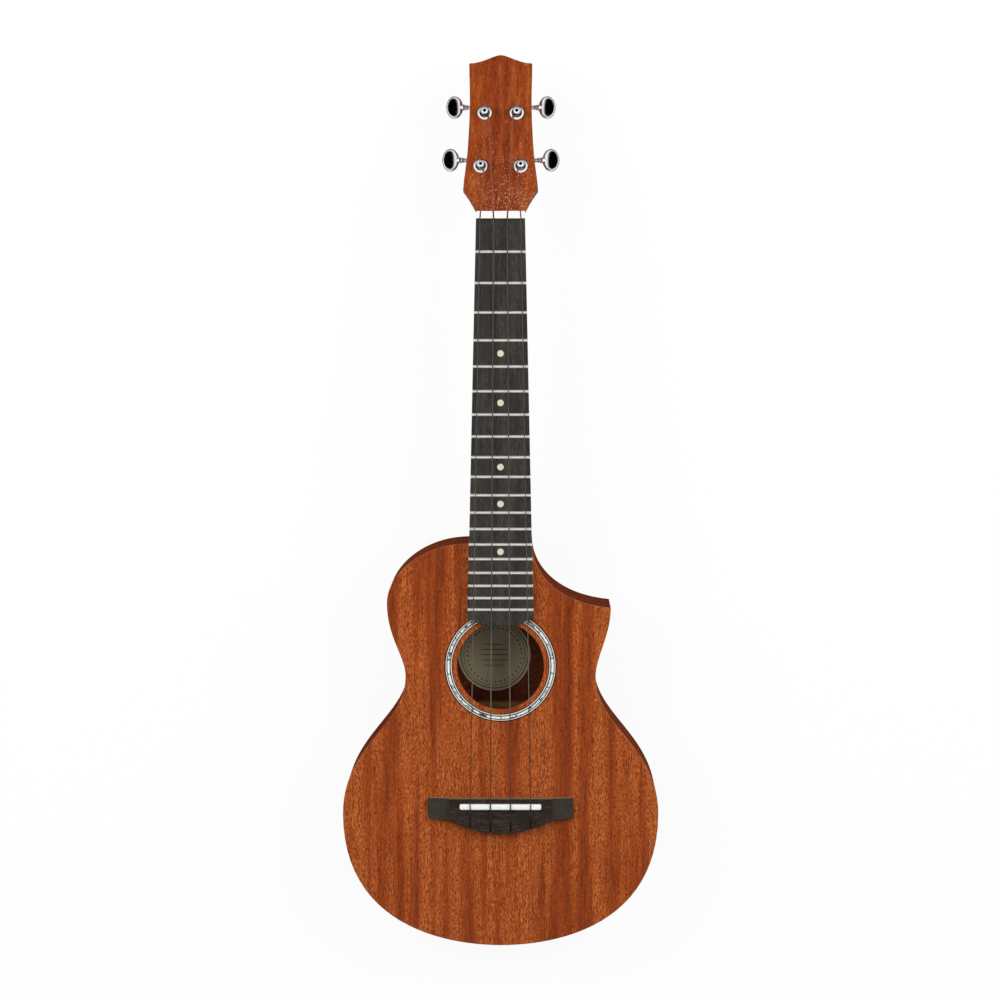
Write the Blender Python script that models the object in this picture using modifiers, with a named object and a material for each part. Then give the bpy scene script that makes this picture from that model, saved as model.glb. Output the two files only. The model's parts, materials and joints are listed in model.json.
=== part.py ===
"""Tenor ukulele with a sharp cutaway, built piece by piece.

It lies on its flat back: +Z is the outward normal of the soundboard, +Y points to the headstock
and +X to the cutaway (treble) side. The origin is under the middle of the instrument, in the plane
of the back. Places along the instrument are given as a distance from the front of the nut towards
the tail, and places on the body as a distance from the neck joint towards the tail.
"""

import math

import bmesh
import bpy
from mathutils import Matrix, Vector

MM = 0.001
GAP = 0.3 * MM
MERGE = 0.005 * MM

# Scale and frets
SCALE_LENGTH = 432 * MM
FRET_COUNT = 19
BODY_FRET = 14

# Body, with heights measured from the outer face of the back
BODY_DEPTH = 66 * MM
BODY_LENGTH = 300.6 * MM
PLATE_THICKNESS = 2.2 * MM
SIDE_WALL = 2 * MM
SHOULDER_START = 24 * MM
SHOULDER_HANDLE = 34.9 * MM
UPPER_BOUT_HALF = 84.2 * MM
UPPER_BOUT_AT = 44 * MM
UPPER_BOUT_HANDLE_HEAD = 20.4 * MM
UPPER_BOUT_HANDLE_TAIL = 26.1 * MM
WAIST_HALF = 70.5 * MM
WAIST_AT = 99 * MM
WAIST_HANDLE_HEAD = 15.2 * MM
WAIST_HANDLE_TAIL = 37.3 * MM
LOWER_BOUT_HALF = 117.3 * MM
LOWER_BOUT_AT = 201.5 * MM
LOWER_BOUT_HANDLE_HEAD = 50.5 * MM
LOWER_BOUT_HANDLE_TAIL = 83.5 * MM
TAIL_HANDLE = 43 * MM
HORN_X = 81.6 * MM
HORN_AT = 47.7 * MM
HORN_HANDLE_BODY = 20.9 * MM
HORN_HANDLE_CUTAWAY = 42.9 * MM
CUTAWAY_RISE = 4.3 * MM
CUTAWAY_HANDLE = 19 * MM
CURVE_STEPS = 14

# Soundhole and rosette
SOUNDHOLE_AT = 91 * MM
SOUNDHOLE_RADIUS = 32.2 * MM
ROSETTE_INNER = 35.8 * MM
ROSETTE_OUTER = 40.7 * MM
ROSETTE_DEPTH = 1.2 * MM
ROUND_STEPS = 40

# Inside of the body
LINING_WIDTH = 5 * MM
LINING_HEIGHT = 10 * MM
NECK_BLOCK_LENGTH = 30 * MM
TAIL_BLOCK_HALF = 26 * MM
TAIL_BLOCK_LENGTH = 17 * MM
BRACE_WIDTH = 6 * MM
BRACE_HEIGHT = 9 * MM
BRACE_CLEAR_OF_HOLE = 1.8 * MM
BACK_BRACE_WIDTH = 11 * MM
BACK_BRACE_HEIGHT = 11 * MM
BACK_BRACE_PAST_HOLE = 1.7 * MM
BRIDGE_PLATE_HALF = 66 * MM
BRIDGE_PLATE_DEPTH = 32 * MM
BRIDGE_PLATE_THICKNESS = 2 * MM
FAN_BRACE_WIDTH = 5 * MM
FAN_BRACE_HEIGHT = 7 * MM
FAN_BRACE_SPACING = 36 * MM
FAN_BRACE_ANGLE = math.radians(9)
FAN_BRACE_BEFORE_SADDLE = 35 * MM
FAN_BRACE_END_CLEARANCE = 1.5 * MM

# Neck and fretboard
NUT_HALF = 18 * MM
FRETBOARD_HALF_AT_END = 24.4 * MM
FRETBOARD_THICKNESS = 5.7 * MM
FRETBOARD_PAST_LAST_FRET = 7.3 * MM
FRETBOARD_TONGUE = 4.6 * MM
FRETBOARD_TONGUE_HALF = 9.6 * MM
NECK_DEPTH_AT_NUT = 13.5 * MM
NECK_DEPTH_AT_HEEL = 15 * MM
HEEL_CAP_LENGTH = 11 * MM
HEEL_LENGTH = 58 * MM
HEEL_CAP_HALF = 10.5 * MM
HEEL_CAP_HEIGHT = 2 * MM
NECK_SIDES = 14
HEEL_STEPS = 8

# Frets
FRET_CROWN_WIDTH = 2 * MM
FRET_CROWN_HEIGHT = 0.9 * MM
FRET_TANG_WIDTH = 0.6 * MM
FRET_TANG_DEPTH = 1.8 * MM
FRET_OVERHANG = 0.2 * MM
CROWN_STEPS = 6

# Nut
NUT_THICKNESS = 5.5 * MM
NUT_HEIGHT = 8.5 * MM
STRING_OVER_FRETS_AT_NUT = 0.4 * MM

# Headstock, in a frame on its face: x across, then the distance from the nut
HEAD_TILT = math.radians(10)
HEAD_THICKNESS = 12.5 * MM
HEAD_FACE_OVER_NECK = 2 * MM
HEAD_LENGTH = 115.8 * MM
HEAD_HALF_AT_NUT = 18.5 * MM
HEAD_CORNER_HALF = 27.5 * MM
HEAD_CORNER_AT = 16 * MM
HEAD_MIDDLE_HALF = 24.3 * MM
HEAD_MIDDLE_AT = 44.8 * MM
HEAD_WAIST_HALF = 22.7 * MM
HEAD_WAIST_AT = 82 * MM
HEAD_TOP_HALF = 23.2 * MM
HEAD_CREST = 6.4 * MM
HEAD_CURVE_STEPS = 7

# Tuners, in a frame on the headstock's face at the post
UPPER_POST_X = 11.8 * MM
UPPER_POST_AT = 73.2 * MM
LOWER_POST_X = 14.65 * MM
LOWER_POST_AT = 33.6 * MM
POST_RADIUS = 3 * MM
POST_WAIST_RADIUS = 2.6 * MM
POST_CAP_RADIUS = 3.3 * MM
POST_CAP_HEIGHT = 2.4 * MM
POST_HEIGHT = 9.6 * MM
POST_HOLE_RADIUS = 0.7 * MM
BUSHING_FLANGE_RADIUS = 5.5 * MM
BUSHING_FLANGE_HEIGHT = 1.2 * MM
BUSHING_RADIUS = 4.2 * MM
BUSHING_LENGTH = 8 * MM
TUNER_PLATE_THICKNESS = 1 * MM
TUNER_PLATE_HALF = 6.4 * MM
TUNER_PLATE_CORNER = 2 * MM
TUNER_SCREW_SEAT = 2.6 * MM
SCREW_HEAD_RADIUS = 1.9 * MM
SCREW_HEAD_HEIGHT = 1.1 * MM
SCREW_RADIUS = 0.9 * MM
SCREW_LENGTH = 8 * MM
EAR_THICKNESS = 1 * MM
EAR_HALF = 3.6 * MM
GEAR_TEETH = 14
GEAR_PITCH_RADIUS = 5.1 * MM
GEAR_THICKNESS = 3 * MM
TOOTH_HEIGHT = 1.3 * MM
TOOTH_BACKLASH = 0.35 * MM
GEAR_SCREW_RADIUS = 2.2 * MM
GEAR_SCREW_HEIGHT = 1.1 * MM
WORM_PITCH_RADIUS = 2.4 * MM
WORM_LENGTH = 9 * MM
WORM_SIDES = 12
WORM_RINGS_A_TURN = 5
SHAFT_RADIUS = 1.9 * MM
SHAFT_INNER_END = 1 * MM
COLLAR_RADIUS = 3.1 * MM
COLLAR_LENGTH = 1.6 * MM
KNOB_CENTRE = 22.5 * MM
KNOB_HALF_LENGTH = 6.5 * MM
KNOB_HALF_WIDTH = 8.7 * MM
KNOB_THICKNESS = 5.6 * MM
KNOB_EDGE = 1.6 * MM
KNOB_NECK_LENGTH = 3.6 * MM
TURNED_STEPS = 14

# Bridge and saddle, with distances from the saddle's middle towards the tail
SADDLE_COMPENSATION = 2.4 * MM
SADDLE_HALF = 30.3 * MM
SADDLE_THICKNESS = 4.3 * MM
SADDLE_OVER_BRIDGE = 3 * MM
SADDLE_SLOT_DEPTH = 4.2 * MM
BRIDGE_HALF = 53.8 * MM
BRIDGE_HEIGHT = 8.2 * MM
BRIDGE_FRONT = 6.1 * MM
BRIDGE_WING_REAR = 10.8 * MM
BRIDGE_WING_TAPER = 0.5 * MM
BRIDGE_REAR = 20.6 * MM
BRIDGE_STEP_X = 38 * MM
BRIDGE_WING_HEIGHT = 4.2 * MM
BRIDGE_TIP_HEIGHT = 3 * MM
BRIDGE_CORNER = 2 * MM
STRING_SLOT_LENGTH = 8 * MM
KNOT_RADIUS = 1.4 * MM
KNOT_FROM_REAR = 2.3 * MM
KNOT_HEIGHT = 3.9 * MM
KNOT_POCKET_CLEARANCE = 0.5 * MM

# Strings, bass side first
STRING_DIAMETERS = (0.8 * MM, 0.9 * MM, 0.8 * MM, 0.7 * MM)
STRING_SPACING_AT_NUT = 10 * MM
STRING_SPACING_AT_SADDLE = 14.93 * MM
WINDING_START = 3.3 * MM
WINDING_PITCH = 1.35 * MM
WINDING_TURNS = 2.25
WINDING_STEPS = 24

# Places that follow from the sizes above
SOUNDBOARD_TOP = BODY_DEPTH
SOUNDBOARD_UNDERSIDE = BODY_DEPTH - PLATE_THICKNESS
INSIDE_TOP = SOUNDBOARD_UNDERSIDE - GAP
INSIDE_BOTTOM = PLATE_THICKNESS + GAP
FRETBOARD_UNDERSIDE = SOUNDBOARD_TOP + GAP
FRETBOARD_TOP = FRETBOARD_UNDERSIDE + FRETBOARD_THICKNESS
FRET_TOP = FRETBOARD_TOP + GAP + FRET_CROWN_HEIGHT
NUT_SEAT = SOUNDBOARD_TOP
BRIDGE_UNDERSIDE = SOUNDBOARD_TOP + GAP
BRIDGE_TOP = BRIDGE_UNDERSIDE + BRIDGE_HEIGHT
SADDLE_TOP = BRIDGE_TOP + SADDLE_OVER_BRIDGE
SADDLE_AT = SCALE_LENGTH + SADDLE_COMPENSATION
HEAD_FACE_START = NUT_SEAT + HEAD_FACE_OVER_NECK
HEAD_TOP_AT = HEAD_LENGTH - HEAD_CREST
WORM_OFFSET = GEAR_PITCH_RADIUS + WORM_PITCH_RADIUS
THREAD_PITCH = 2 * math.pi * GEAR_PITCH_RADIUS / GEAR_TEETH
TUNER_PLATE_TOP = -(HEAD_THICKNESS + GAP)
TUNER_PLATE_BOTTOM = TUNER_PLATE_TOP - TUNER_PLATE_THICKNESS
WORM_TIP_RADIUS = WORM_PITCH_RADIUS + TOOTH_HEIGHT / 2
WORM_LEVEL = TUNER_PLATE_BOTTOM - GAP - WORM_TIP_RADIUS
GEAR_TIP_RADIUS = GEAR_PITCH_RADIUS + TOOTH_HEIGHT / 2 - TOOTH_BACKLASH
PLATE_TAIL_END = GEAR_TIP_RADIUS + 2 * TUNER_SCREW_SEAT
PLATE_HEAD_END = WORM_OFFSET + EAR_HALF + 2 * TUNER_SCREW_SEAT - GAP
EAR_START = WORM_LENGTH / 2 + GAP
BLOCK_HEIGHT = (INSIDE_BOTTOM, INSIDE_TOP)

TUNERS = {
    "bass_lower": (-1, LOWER_POST_X, LOWER_POST_AT, 0),
    "bass_upper": (-1, UPPER_POST_X, UPPER_POST_AT, 1),
    "treble_upper": (1, UPPER_POST_X, UPPER_POST_AT, 2),
    "treble_lower": (1, LOWER_POST_X, LOWER_POST_AT, 3),
}

FINISHES = {
    "mahogany_top": ((0.42, 0.17, 0.07), 0.45, 0.0),
    "mahogany_side": ((0.25, 0.09, 0.05), 0.45, 0.0),
    "neck_wood": ((0.24, 0.09, 0.05), 0.5, 0.0),
    "inner_wood": ((0.62, 0.45, 0.27), 0.8, 0.0),
    "dark_hardwood": ((0.045, 0.033, 0.03), 0.55, 0.0),
    "white_bone": ((0.85, 0.84, 0.8), 0.35, 0.0),
    "abalone": ((0.5, 0.52, 0.5), 0.25, 0.0),
    "fret_wire": ((0.75, 0.73, 0.68), 0.25, 1.0),
    "chrome": ((0.8, 0.81, 0.82), 0.1, 1.0),
    "string": ((0.1, 0.1, 0.1), 0.35, 0.0),
}


def fret_distance(number):
    """Distance from the nut to a fret, by the equal-tempered rule."""
    return SCALE_LENGTH * (1 - 2 ** (-number / 12))


BODY_AT = fret_distance(BODY_FRET)
FRETBOARD_END = fret_distance(FRET_COUNT) + FRETBOARD_PAST_LAST_FRET
HEAD_REACH = NUT_THICKNESS + HEAD_LENGTH * math.cos(HEAD_TILT)
NUT_Y = (BODY_AT + BODY_LENGTH - HEAD_REACH) / 2
BODY_Y = NUT_Y - BODY_AT
SADDLE_Y = NUT_Y - SADDLE_AT
SOUNDHOLE_Y = BODY_Y - SOUNDHOLE_AT
HEAD_FRAME = (
    Matrix.Translation((0, NUT_Y + NUT_THICKNESS, HEAD_FACE_START))
    @ Matrix.Rotation(-HEAD_TILT, 4, "X")
)
# Carries a flat outline drawn in X and Y to one that stands along the instrument, in Y and Z
CROSSWISE = Matrix.Rotation(math.pi / 2, 4, "Z") @ Matrix.Rotation(math.pi / 2, 4, "X")
# Carries a flat outline drawn in X and Y to one that stands across the instrument, in X and Z
LENGTHWISE = Matrix.Rotation(math.pi / 2, 4, "X")


def clear_scene():
    for thing in list(bpy.data.objects):
        bpy.data.objects.remove(thing)


def new_collection(name):
    collection = bpy.data.collections.new(name)
    bpy.context.scene.collection.children.link(collection)
    return collection


def new_material(name):
    colour, roughness, metallic = FINISHES[name]
    material = bpy.data.materials.new(name)
    material.use_nodes = True
    shader = material.node_tree.nodes["Principled BSDF"]
    shader.inputs["Base Color"].default_value = (*colour, 1)
    shader.inputs["Roughness"].default_value = roughness
    shader.inputs["Metallic"].default_value = metallic
    return material


clear_scene()
PARTS = new_collection("tenor_ukulele")
CUTTERS = new_collection("cutters")
MATERIALS = {name: new_material(name) for name in FINISHES}


def place(name, mesh, material=None, matrix=None, parent=None):
    """Link a mesh as a part, or as a cutter if it has no material."""
    thing = bpy.data.objects.new(name, mesh)
    if material is None:
        CUTTERS.objects.link(thing)
        thing.hide_render = True
        thing.display_type = "WIRE"
    else:
        PARTS.objects.link(thing)
        mesh.materials.append(MATERIALS[material])
        mesh.shade_smooth()
        mesh.set_sharp_from_angle(angle=math.radians(35))
    if parent is not None:
        thing.parent = parent
    if matrix is not None:
        thing.matrix_local = matrix
    return thing


def boolean(target, operation, tool):
    modifier = target.modifiers.new(tool.name, "BOOLEAN")
    modifier.operation = operation
    modifier.solver = "EXACT"
    modifier.object = tool


def mesh_from(bm, name):
    mesh = bpy.data.meshes.new(name)
    bm.to_mesh(mesh)
    bm.free()
    return mesh


def box_mesh(name, boxes, matrix=None):
    """One mesh of boxes, each given by its lowest and highest corner."""
    bm = bmesh.new()
    for low, high in boxes:
        low = Vector(low)
        high = Vector(high)
        middle = Matrix.Translation((low + high) / 2)
        size = Matrix.Diagonal((*(high - low), 1))
        bmesh.ops.create_cube(bm, size=1, matrix=(matrix or Matrix()) @ middle @ size)
    return mesh_from(bm, name)


def rod_mesh(name, rods, sides=TURNED_STEPS):
    """One mesh of rods, each given by a matrix, a radius and its low and high end on Z."""
    bm = bmesh.new()
    for matrix, radius, low, high in rods:
        bmesh.ops.create_cone(
            bm,
            cap_ends=True,
            segments=sides,
            radius1=radius,
            radius2=radius,
            depth=high - low,
            matrix=matrix @ Matrix.Translation((0, 0, (low + high) / 2)),
        )
    return mesh_from(bm, name)


def flat_mesh(name, outlines, low, high, matrix=None):
    """Fill closed outlines, the later ones as holes in the first, and give them a thickness."""
    curve = bpy.data.curves.new(name, "CURVE")
    curve.dimensions = "2D"
    curve.fill_mode = "BOTH"
    curve.extrude = (high - low) / 2
    for outline in outlines:
        spline = curve.splines.new("POLY")
        spline.points.add(len(outline) - 1)
        for point, (x, y) in zip(spline.points, outline):
            point.co = (x, y, 0, 1)
        spline.use_cyclic_u = True
    return curve_to_mesh(name, curve, (matrix or Matrix()) @ Matrix.Translation((0, 0, (low + high) / 2)))


def curve_to_mesh(name, curve, matrix=None):
    """Turn a curve into a closed mesh and weld its caps."""
    thing = bpy.data.objects.new(name, curve)
    CUTTERS.objects.link(thing)
    evaluated = thing.evaluated_get(bpy.context.evaluated_depsgraph_get())
    mesh = bpy.data.meshes.new_from_object(evaluated)
    bpy.data.objects.remove(thing)
    bpy.data.curves.remove(curve)
    bm = bmesh.new()
    bm.from_mesh(mesh)
    bmesh.ops.remove_doubles(bm, verts=bm.verts, dist=MERGE)
    if matrix is not None:
        bm.transform(matrix)
    bm.to_mesh(mesh)
    bm.free()
    mesh.name = name
    return mesh


def turned_mesh(name, profile, closed=False, steps=TURNED_STEPS):
    """Turn a profile of (radius, height) pairs about Z, drawn down its outer side."""
    bm = bmesh.new()
    points = [bm.verts.new((radius, 0, height)) for radius, height in profile]
    for first, second in zip(points, points[1:]):
        bm.edges.new((first, second))
    if closed:
        bm.edges.new((points[-1], points[0]))
    thing = bpy.data.objects.new(name, mesh_from(bm, name))
    CUTTERS.objects.link(thing)
    screw = thing.modifiers.new("turn", "SCREW")
    screw.steps = steps
    screw.render_steps = steps
    screw.use_merge_vertices = True
    screw.merge_threshold = MERGE
    evaluated = thing.evaluated_get(bpy.context.evaluated_depsgraph_get())
    mesh = bpy.data.meshes.new_from_object(evaluated)
    bpy.data.objects.remove(thing)
    return mesh


def bezier(start, start_handle, end_handle, end, steps):
    """Points of a cubic curve without its end, each handle given from its own point."""
    first = Vector(start) + Vector(start_handle)
    second = Vector(end) + Vector(end_handle)
    points = []
    for step in range(steps):
        t = step / steps
        points.append(
            Vector(start) * (1 - t) ** 3
            + first * 3 * (1 - t) ** 2 * t
            + second * 3 * (1 - t) * t**2
            + Vector(end) * t**3
        )
    return points


def arc(centre, radius, start, end, steps):
    """Points of an arc from one angle to another, in degrees, both ends kept."""
    points = []
    for step in range(steps + 1):
        angle = math.radians(start + (end - start) * step / steps)
        points.append(Vector(centre) + radius * Vector((math.cos(angle), math.sin(angle))))
    return points


def circle(centre, radius, steps=ROUND_STEPS):
    return arc(centre, radius, 0, 360, steps)[:-1]


def rounded_rectangle(low, high, radius, steps=3):
    corners = (
        (high[0], high[1], 0),
        (low[0], high[1], 90),
        (low[0], low[1], 180),
        (high[0], low[1], 270),
    )
    points = []
    for x, y, angle in corners:
        centre_x = x - radius if x == high[0] else x + radius
        centre_y = y - radius if y == high[1] else y + radius
        points += arc((centre_x, centre_y), radius, angle, angle + 90, steps)
    return points


def on_body(x, distance):
    """A point in plan, from its distance below the neck joint."""
    return Vector((x, BODY_Y - distance))


def bass_edge():
    """The body's edge from the neck joint round the bass side to the tail."""
    points = bezier(
        on_body(-SHOULDER_START, 0),
        (-SHOULDER_HANDLE, 0),
        (0, UPPER_BOUT_HANDLE_HEAD),
        on_body(-UPPER_BOUT_HALF, UPPER_BOUT_AT),
        CURVE_STEPS,
    )
    points += bezier(
        on_body(-UPPER_BOUT_HALF, UPPER_BOUT_AT),
        (0, -UPPER_BOUT_HANDLE_TAIL),
        (0, WAIST_HANDLE_HEAD),
        on_body(-WAIST_HALF, WAIST_AT),
        CURVE_STEPS // 2,
    )
    return points + lower_bout(-1) + [on_body(0, BODY_LENGTH)]


def lower_bout(side):
    """The edge from the waist to the tail, without the tail's own point."""
    points = bezier(
        on_body(side * WAIST_HALF, WAIST_AT),
        (0, -WAIST_HANDLE_TAIL),
        (0, LOWER_BOUT_HANDLE_HEAD),
        on_body(side * LOWER_BOUT_HALF, LOWER_BOUT_AT),
        CURVE_STEPS,
    )
    points += bezier(
        on_body(side * LOWER_BOUT_HALF, LOWER_BOUT_AT),
        (0, -LOWER_BOUT_HANDLE_TAIL),
        (side * TAIL_HANDLE, 0),
        on_body(0, BODY_LENGTH),
        CURVE_STEPS,
    )
    return points


def treble_edge():
    """The body's edge from the tail up the treble side to the tip of the horn."""
    points = [on_body(0, BODY_LENGTH)] + lower_bout(1)[:0:-1]
    points += bezier(
        on_body(WAIST_HALF, WAIST_AT),
        (0, WAIST_HANDLE_HEAD),
        (0, -HORN_HANDLE_BODY),
        on_body(HORN_X, HORN_AT),
        CURVE_STEPS // 2,
    )
    return points + [on_body(HORN_X, HORN_AT)]


def cutaway_edge():
    """The hollow edge from the tip of the horn to the neck joint."""
    points = bezier(
        on_body(HORN_X, HORN_AT),
        (-HORN_HANDLE_CUTAWAY, CUTAWAY_RISE),
        (0, -CUTAWAY_HANDLE),
        on_body(CUTAWAY_X, 0),
        CURVE_STEPS,
    )
    return points + [on_body(CUTAWAY_X, 0)]


def fretboard_half(distance):
    """Half the width of the fretboard at a distance from the nut."""
    return NUT_HALF + (FRETBOARD_HALF_AT_END - NUT_HALF) * distance / FRETBOARD_END


CUTAWAY_X = fretboard_half(BODY_AT)
BODY_OUTLINE = bass_edge() + treble_edge()[1:] + cutaway_edge()[1:]


def edge_distance(point):
    """Distance in plan from a point to the body's edge."""
    nearest = math.inf
    for first, second in zip(BODY_OUTLINE, BODY_OUTLINE[1:] + BODY_OUTLINE[:1]):
        run = second - first
        share = max(0, min(1, (point - first).dot(run) / run.length_squared))
        nearest = min(nearest, (point - first - run * share).length)
    return nearest


def reach(start, direction, clearance):
    """How far a point inside the body can go before it is within the clearance of the edge."""
    point = Vector(start)
    step = 0.2 * MM
    travel = 0
    while edge_distance(point + Vector(direction) * (travel + step)) >= clearance:
        travel += step
    return travel


def inset(points, distance):
    """Move a path sideways into the body, which lies on its left."""
    moved = []
    for index, point in enumerate(points):
        before = points[max(index - 1, 0)]
        after = points[min(index + 1, len(points) - 1)]
        along = (after - before).normalized()
        moved.append(point + distance * Vector((-along.y, along.x)))
    return moved


def cut_path(points, value, keep_below, coordinate):
    """Keep the stretch of a path whose coordinate is below or above a value, cut where it crosses."""
    kept = []
    for first, second in zip(points, points[1:]):
        first_in = (first[coordinate] < value) == keep_below
        second_in = (second[coordinate] < value) == keep_below
        if first_in:
            kept.append(first)
        if first_in != second_in:
            share = (value - first[coordinate]) / (second[coordinate] - first[coordinate])
            kept.append(first.lerp(second, share))
    last_in = (points[-1][coordinate] < value) == keep_below
    return kept + [points[-1]] if last_in else kept


def strip(name, path, low, high, thickness, material=None):
    """A bent strip on edge: its outer face follows the path and its wall lies inside the body."""
    bm = bmesh.new()
    row = [bm.verts.new((point.x, point.y, low)) for point in path]
    edges = [bm.edges.new(pair) for pair in zip(row, row[1:])]
    raised = bmesh.ops.extrude_edge_only(bm, edges=edges)["geom"]
    upper = [item for item in raised if isinstance(item, bmesh.types.BMVert)]
    bmesh.ops.translate(bm, verts=upper, vec=(0, 0, high - low))
    bm.faces.ensure_lookup_table()
    bm.normal_update()
    first_face = row[0].link_faces[0]
    along = path[1] - path[0]
    if first_face.normal.dot(Vector((along.y, -along.x, 0))) < 0:
        bmesh.ops.reverse_faces(bm, faces=bm.faces)
    thing = place(name, mesh_from(bm, name), material)
    wall = thing.modifiers.new("wall", "SOLIDIFY")
    wall.thickness = thickness
    wall.offset = -1
    wall.use_even_offset = True
    return thing


def soundboard():
    hole = circle((0, SOUNDHOLE_Y), SOUNDHOLE_RADIUS)
    mesh = flat_mesh("soundboard", [BODY_OUTLINE, hole], SOUNDBOARD_UNDERSIDE, SOUNDBOARD_TOP)
    board = place("soundboard", mesh, "mahogany_top")
    rings = [
        circle((0, SOUNDHOLE_Y), ROSETTE_OUTER + GAP),
        circle((0, SOUNDHOLE_Y), ROSETTE_INNER - GAP),
    ]
    floor = SOUNDBOARD_TOP - ROSETTE_DEPTH - GAP
    channel = flat_mesh("rosette_channel", rings, floor, SOUNDBOARD_TOP + GAP)
    boolean(board, "DIFFERENCE", place("rosette_channel", channel))


def rosette():
    rings = [circle((0, SOUNDHOLE_Y), ROSETTE_OUTER), circle((0, SOUNDHOLE_Y), ROSETTE_INNER)]
    mesh = flat_mesh("rosette", rings, SOUNDBOARD_TOP - ROSETTE_DEPTH, SOUNDBOARD_TOP)
    place("rosette", mesh, "abalone")


def back_plate():
    mesh = flat_mesh("back_plate", [BODY_OUTLINE], 0, PLATE_THICKNESS)
    place("back_plate", mesh, "mahogany_side")


def sides():
    """Three bent sides: bass, treble up to the horn, and the one round the cutaway."""
    bass = [on_body(CUTAWAY_X, 0)] + bass_edge()
    bass[-1] = bass[-1] - Vector((GAP / 2, 0))
    strip("side_bass", bass, *BLOCK_HEIGHT, SIDE_WALL, "mahogany_side")
    treble = treble_edge()
    treble[0] = treble[0] + Vector((GAP / 2, 0))
    strip("side_treble", treble, *BLOCK_HEIGHT, SIDE_WALL, "mahogany_side")
    cutaway = cut_path(cutaway_edge(), HORN_X - SIDE_WALL - GAP, True, 0)
    cutaway = cut_path(cutaway, BODY_Y - SIDE_WALL - GAP, True, 1)
    strip("side_cutaway", cutaway, *BLOCK_HEIGHT, SIDE_WALL, "mahogany_side")


def blocks():
    """The neck block under the fretboard's end and the tail block where the sides meet."""
    clearance = SIDE_WALL + GAP
    top = BODY_Y - clearance
    bottom = top - NECK_BLOCK_LENGTH
    half = min(reach((0, y), (1, 0), clearance) for y in (top - clearance, bottom))
    mesh = box_mesh("neck_block", [((-half, bottom, INSIDE_BOTTOM), (half, top, INSIDE_TOP))])
    place("neck_block", mesh, "inner_wood")
    start = BODY_Y - LOWER_BOUT_AT
    end = start - reach((TAIL_BLOCK_HALF, start), (0, -1), clearance)
    low = (-TAIL_BLOCK_HALF, end, INSIDE_BOTTOM)
    high = (TAIL_BLOCK_HALF, end + TAIL_BLOCK_LENGTH, INSIDE_TOP)
    place("tail_block", box_mesh("tail_block", [(low, high)]), "inner_wood")
    return half, bottom, high[1]


def linings(neck_block_half, neck_block_end):
    """Strips that widen the glue joint between each plate and the sides."""
    wall = SIDE_WALL + GAP
    bass = inset(bass_edge(), wall)
    bass = cut_path(bass, -neck_block_half - GAP, True, 0)
    square = cut_path(bass, -TAIL_BLOCK_HALF - GAP, True, 0)
    overrun = inset(square, LINING_WIDTH)[-1].x - square[-1].x
    bass = cut_path(bass, -TAIL_BLOCK_HALF - GAP - overrun, True, 0)
    treble = inset(treble_edge(), wall)
    treble = cut_path(treble, TAIL_BLOCK_HALF + GAP + overrun, False, 0)
    treble = cut_path(treble, BODY_Y - HORN_AT - wall, True, 1)
    cutaway = inset(cutaway_edge(), wall)
    cutaway = cut_path(cutaway, HORN_X - wall, True, 0)
    cutaway = cut_path(cutaway, neck_block_end - GAP, True, 1)
    for face, low in (("back", INSIDE_BOTTOM), ("top", INSIDE_TOP - LINING_HEIGHT)):
        levels = (low, low + LINING_HEIGHT)
        strip(f"lining_{face}_bass", bass, *levels, LINING_WIDTH, "inner_wood")
        main = strip(f"lining_{face}_treble", treble, *levels, LINING_WIDTH, "inner_wood")
        short = strip(f"lining_{face}_cutaway", cutaway, *levels, LINING_WIDTH)
        boolean(main, "UNION", short)


def brace(name, start, width, low, high):
    """A straight bar across the body, from lining to lining."""
    clearance = SIDE_WALL + LINING_WIDTH + 2 * GAP
    rows = (start, start - width / 2, start - width)
    left = min(reach((0, y), (-1, 0), clearance) for y in rows)
    right = min(reach((0, y), (1, 0), clearance) for y in rows)
    mesh = box_mesh(name, [((-left, start - width, low), (right, start, high))])
    return place(name, mesh, "inner_wood")


def bracing():
    upper = SOUNDHOLE_Y + SOUNDHOLE_RADIUS + BRACE_CLEAR_OF_HOLE + BRACE_WIDTH
    lower = SOUNDHOLE_Y - SOUNDHOLE_RADIUS - 2 * BRACE_CLEAR_OF_HOLE
    levels = (INSIDE_TOP - BRACE_HEIGHT, INSIDE_TOP)
    brace("soundboard_brace_upper", upper, BRACE_WIDTH, *levels)
    brace("soundboard_brace_lower", lower, BRACE_WIDTH, *levels)
    back = SOUNDHOLE_Y - SOUNDHOLE_RADIUS - BACK_BRACE_PAST_HOLE
    brace("back_brace", back, BACK_BRACE_WIDTH, INSIDE_BOTTOM, INSIDE_BOTTOM + BACK_BRACE_HEIGHT)


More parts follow.
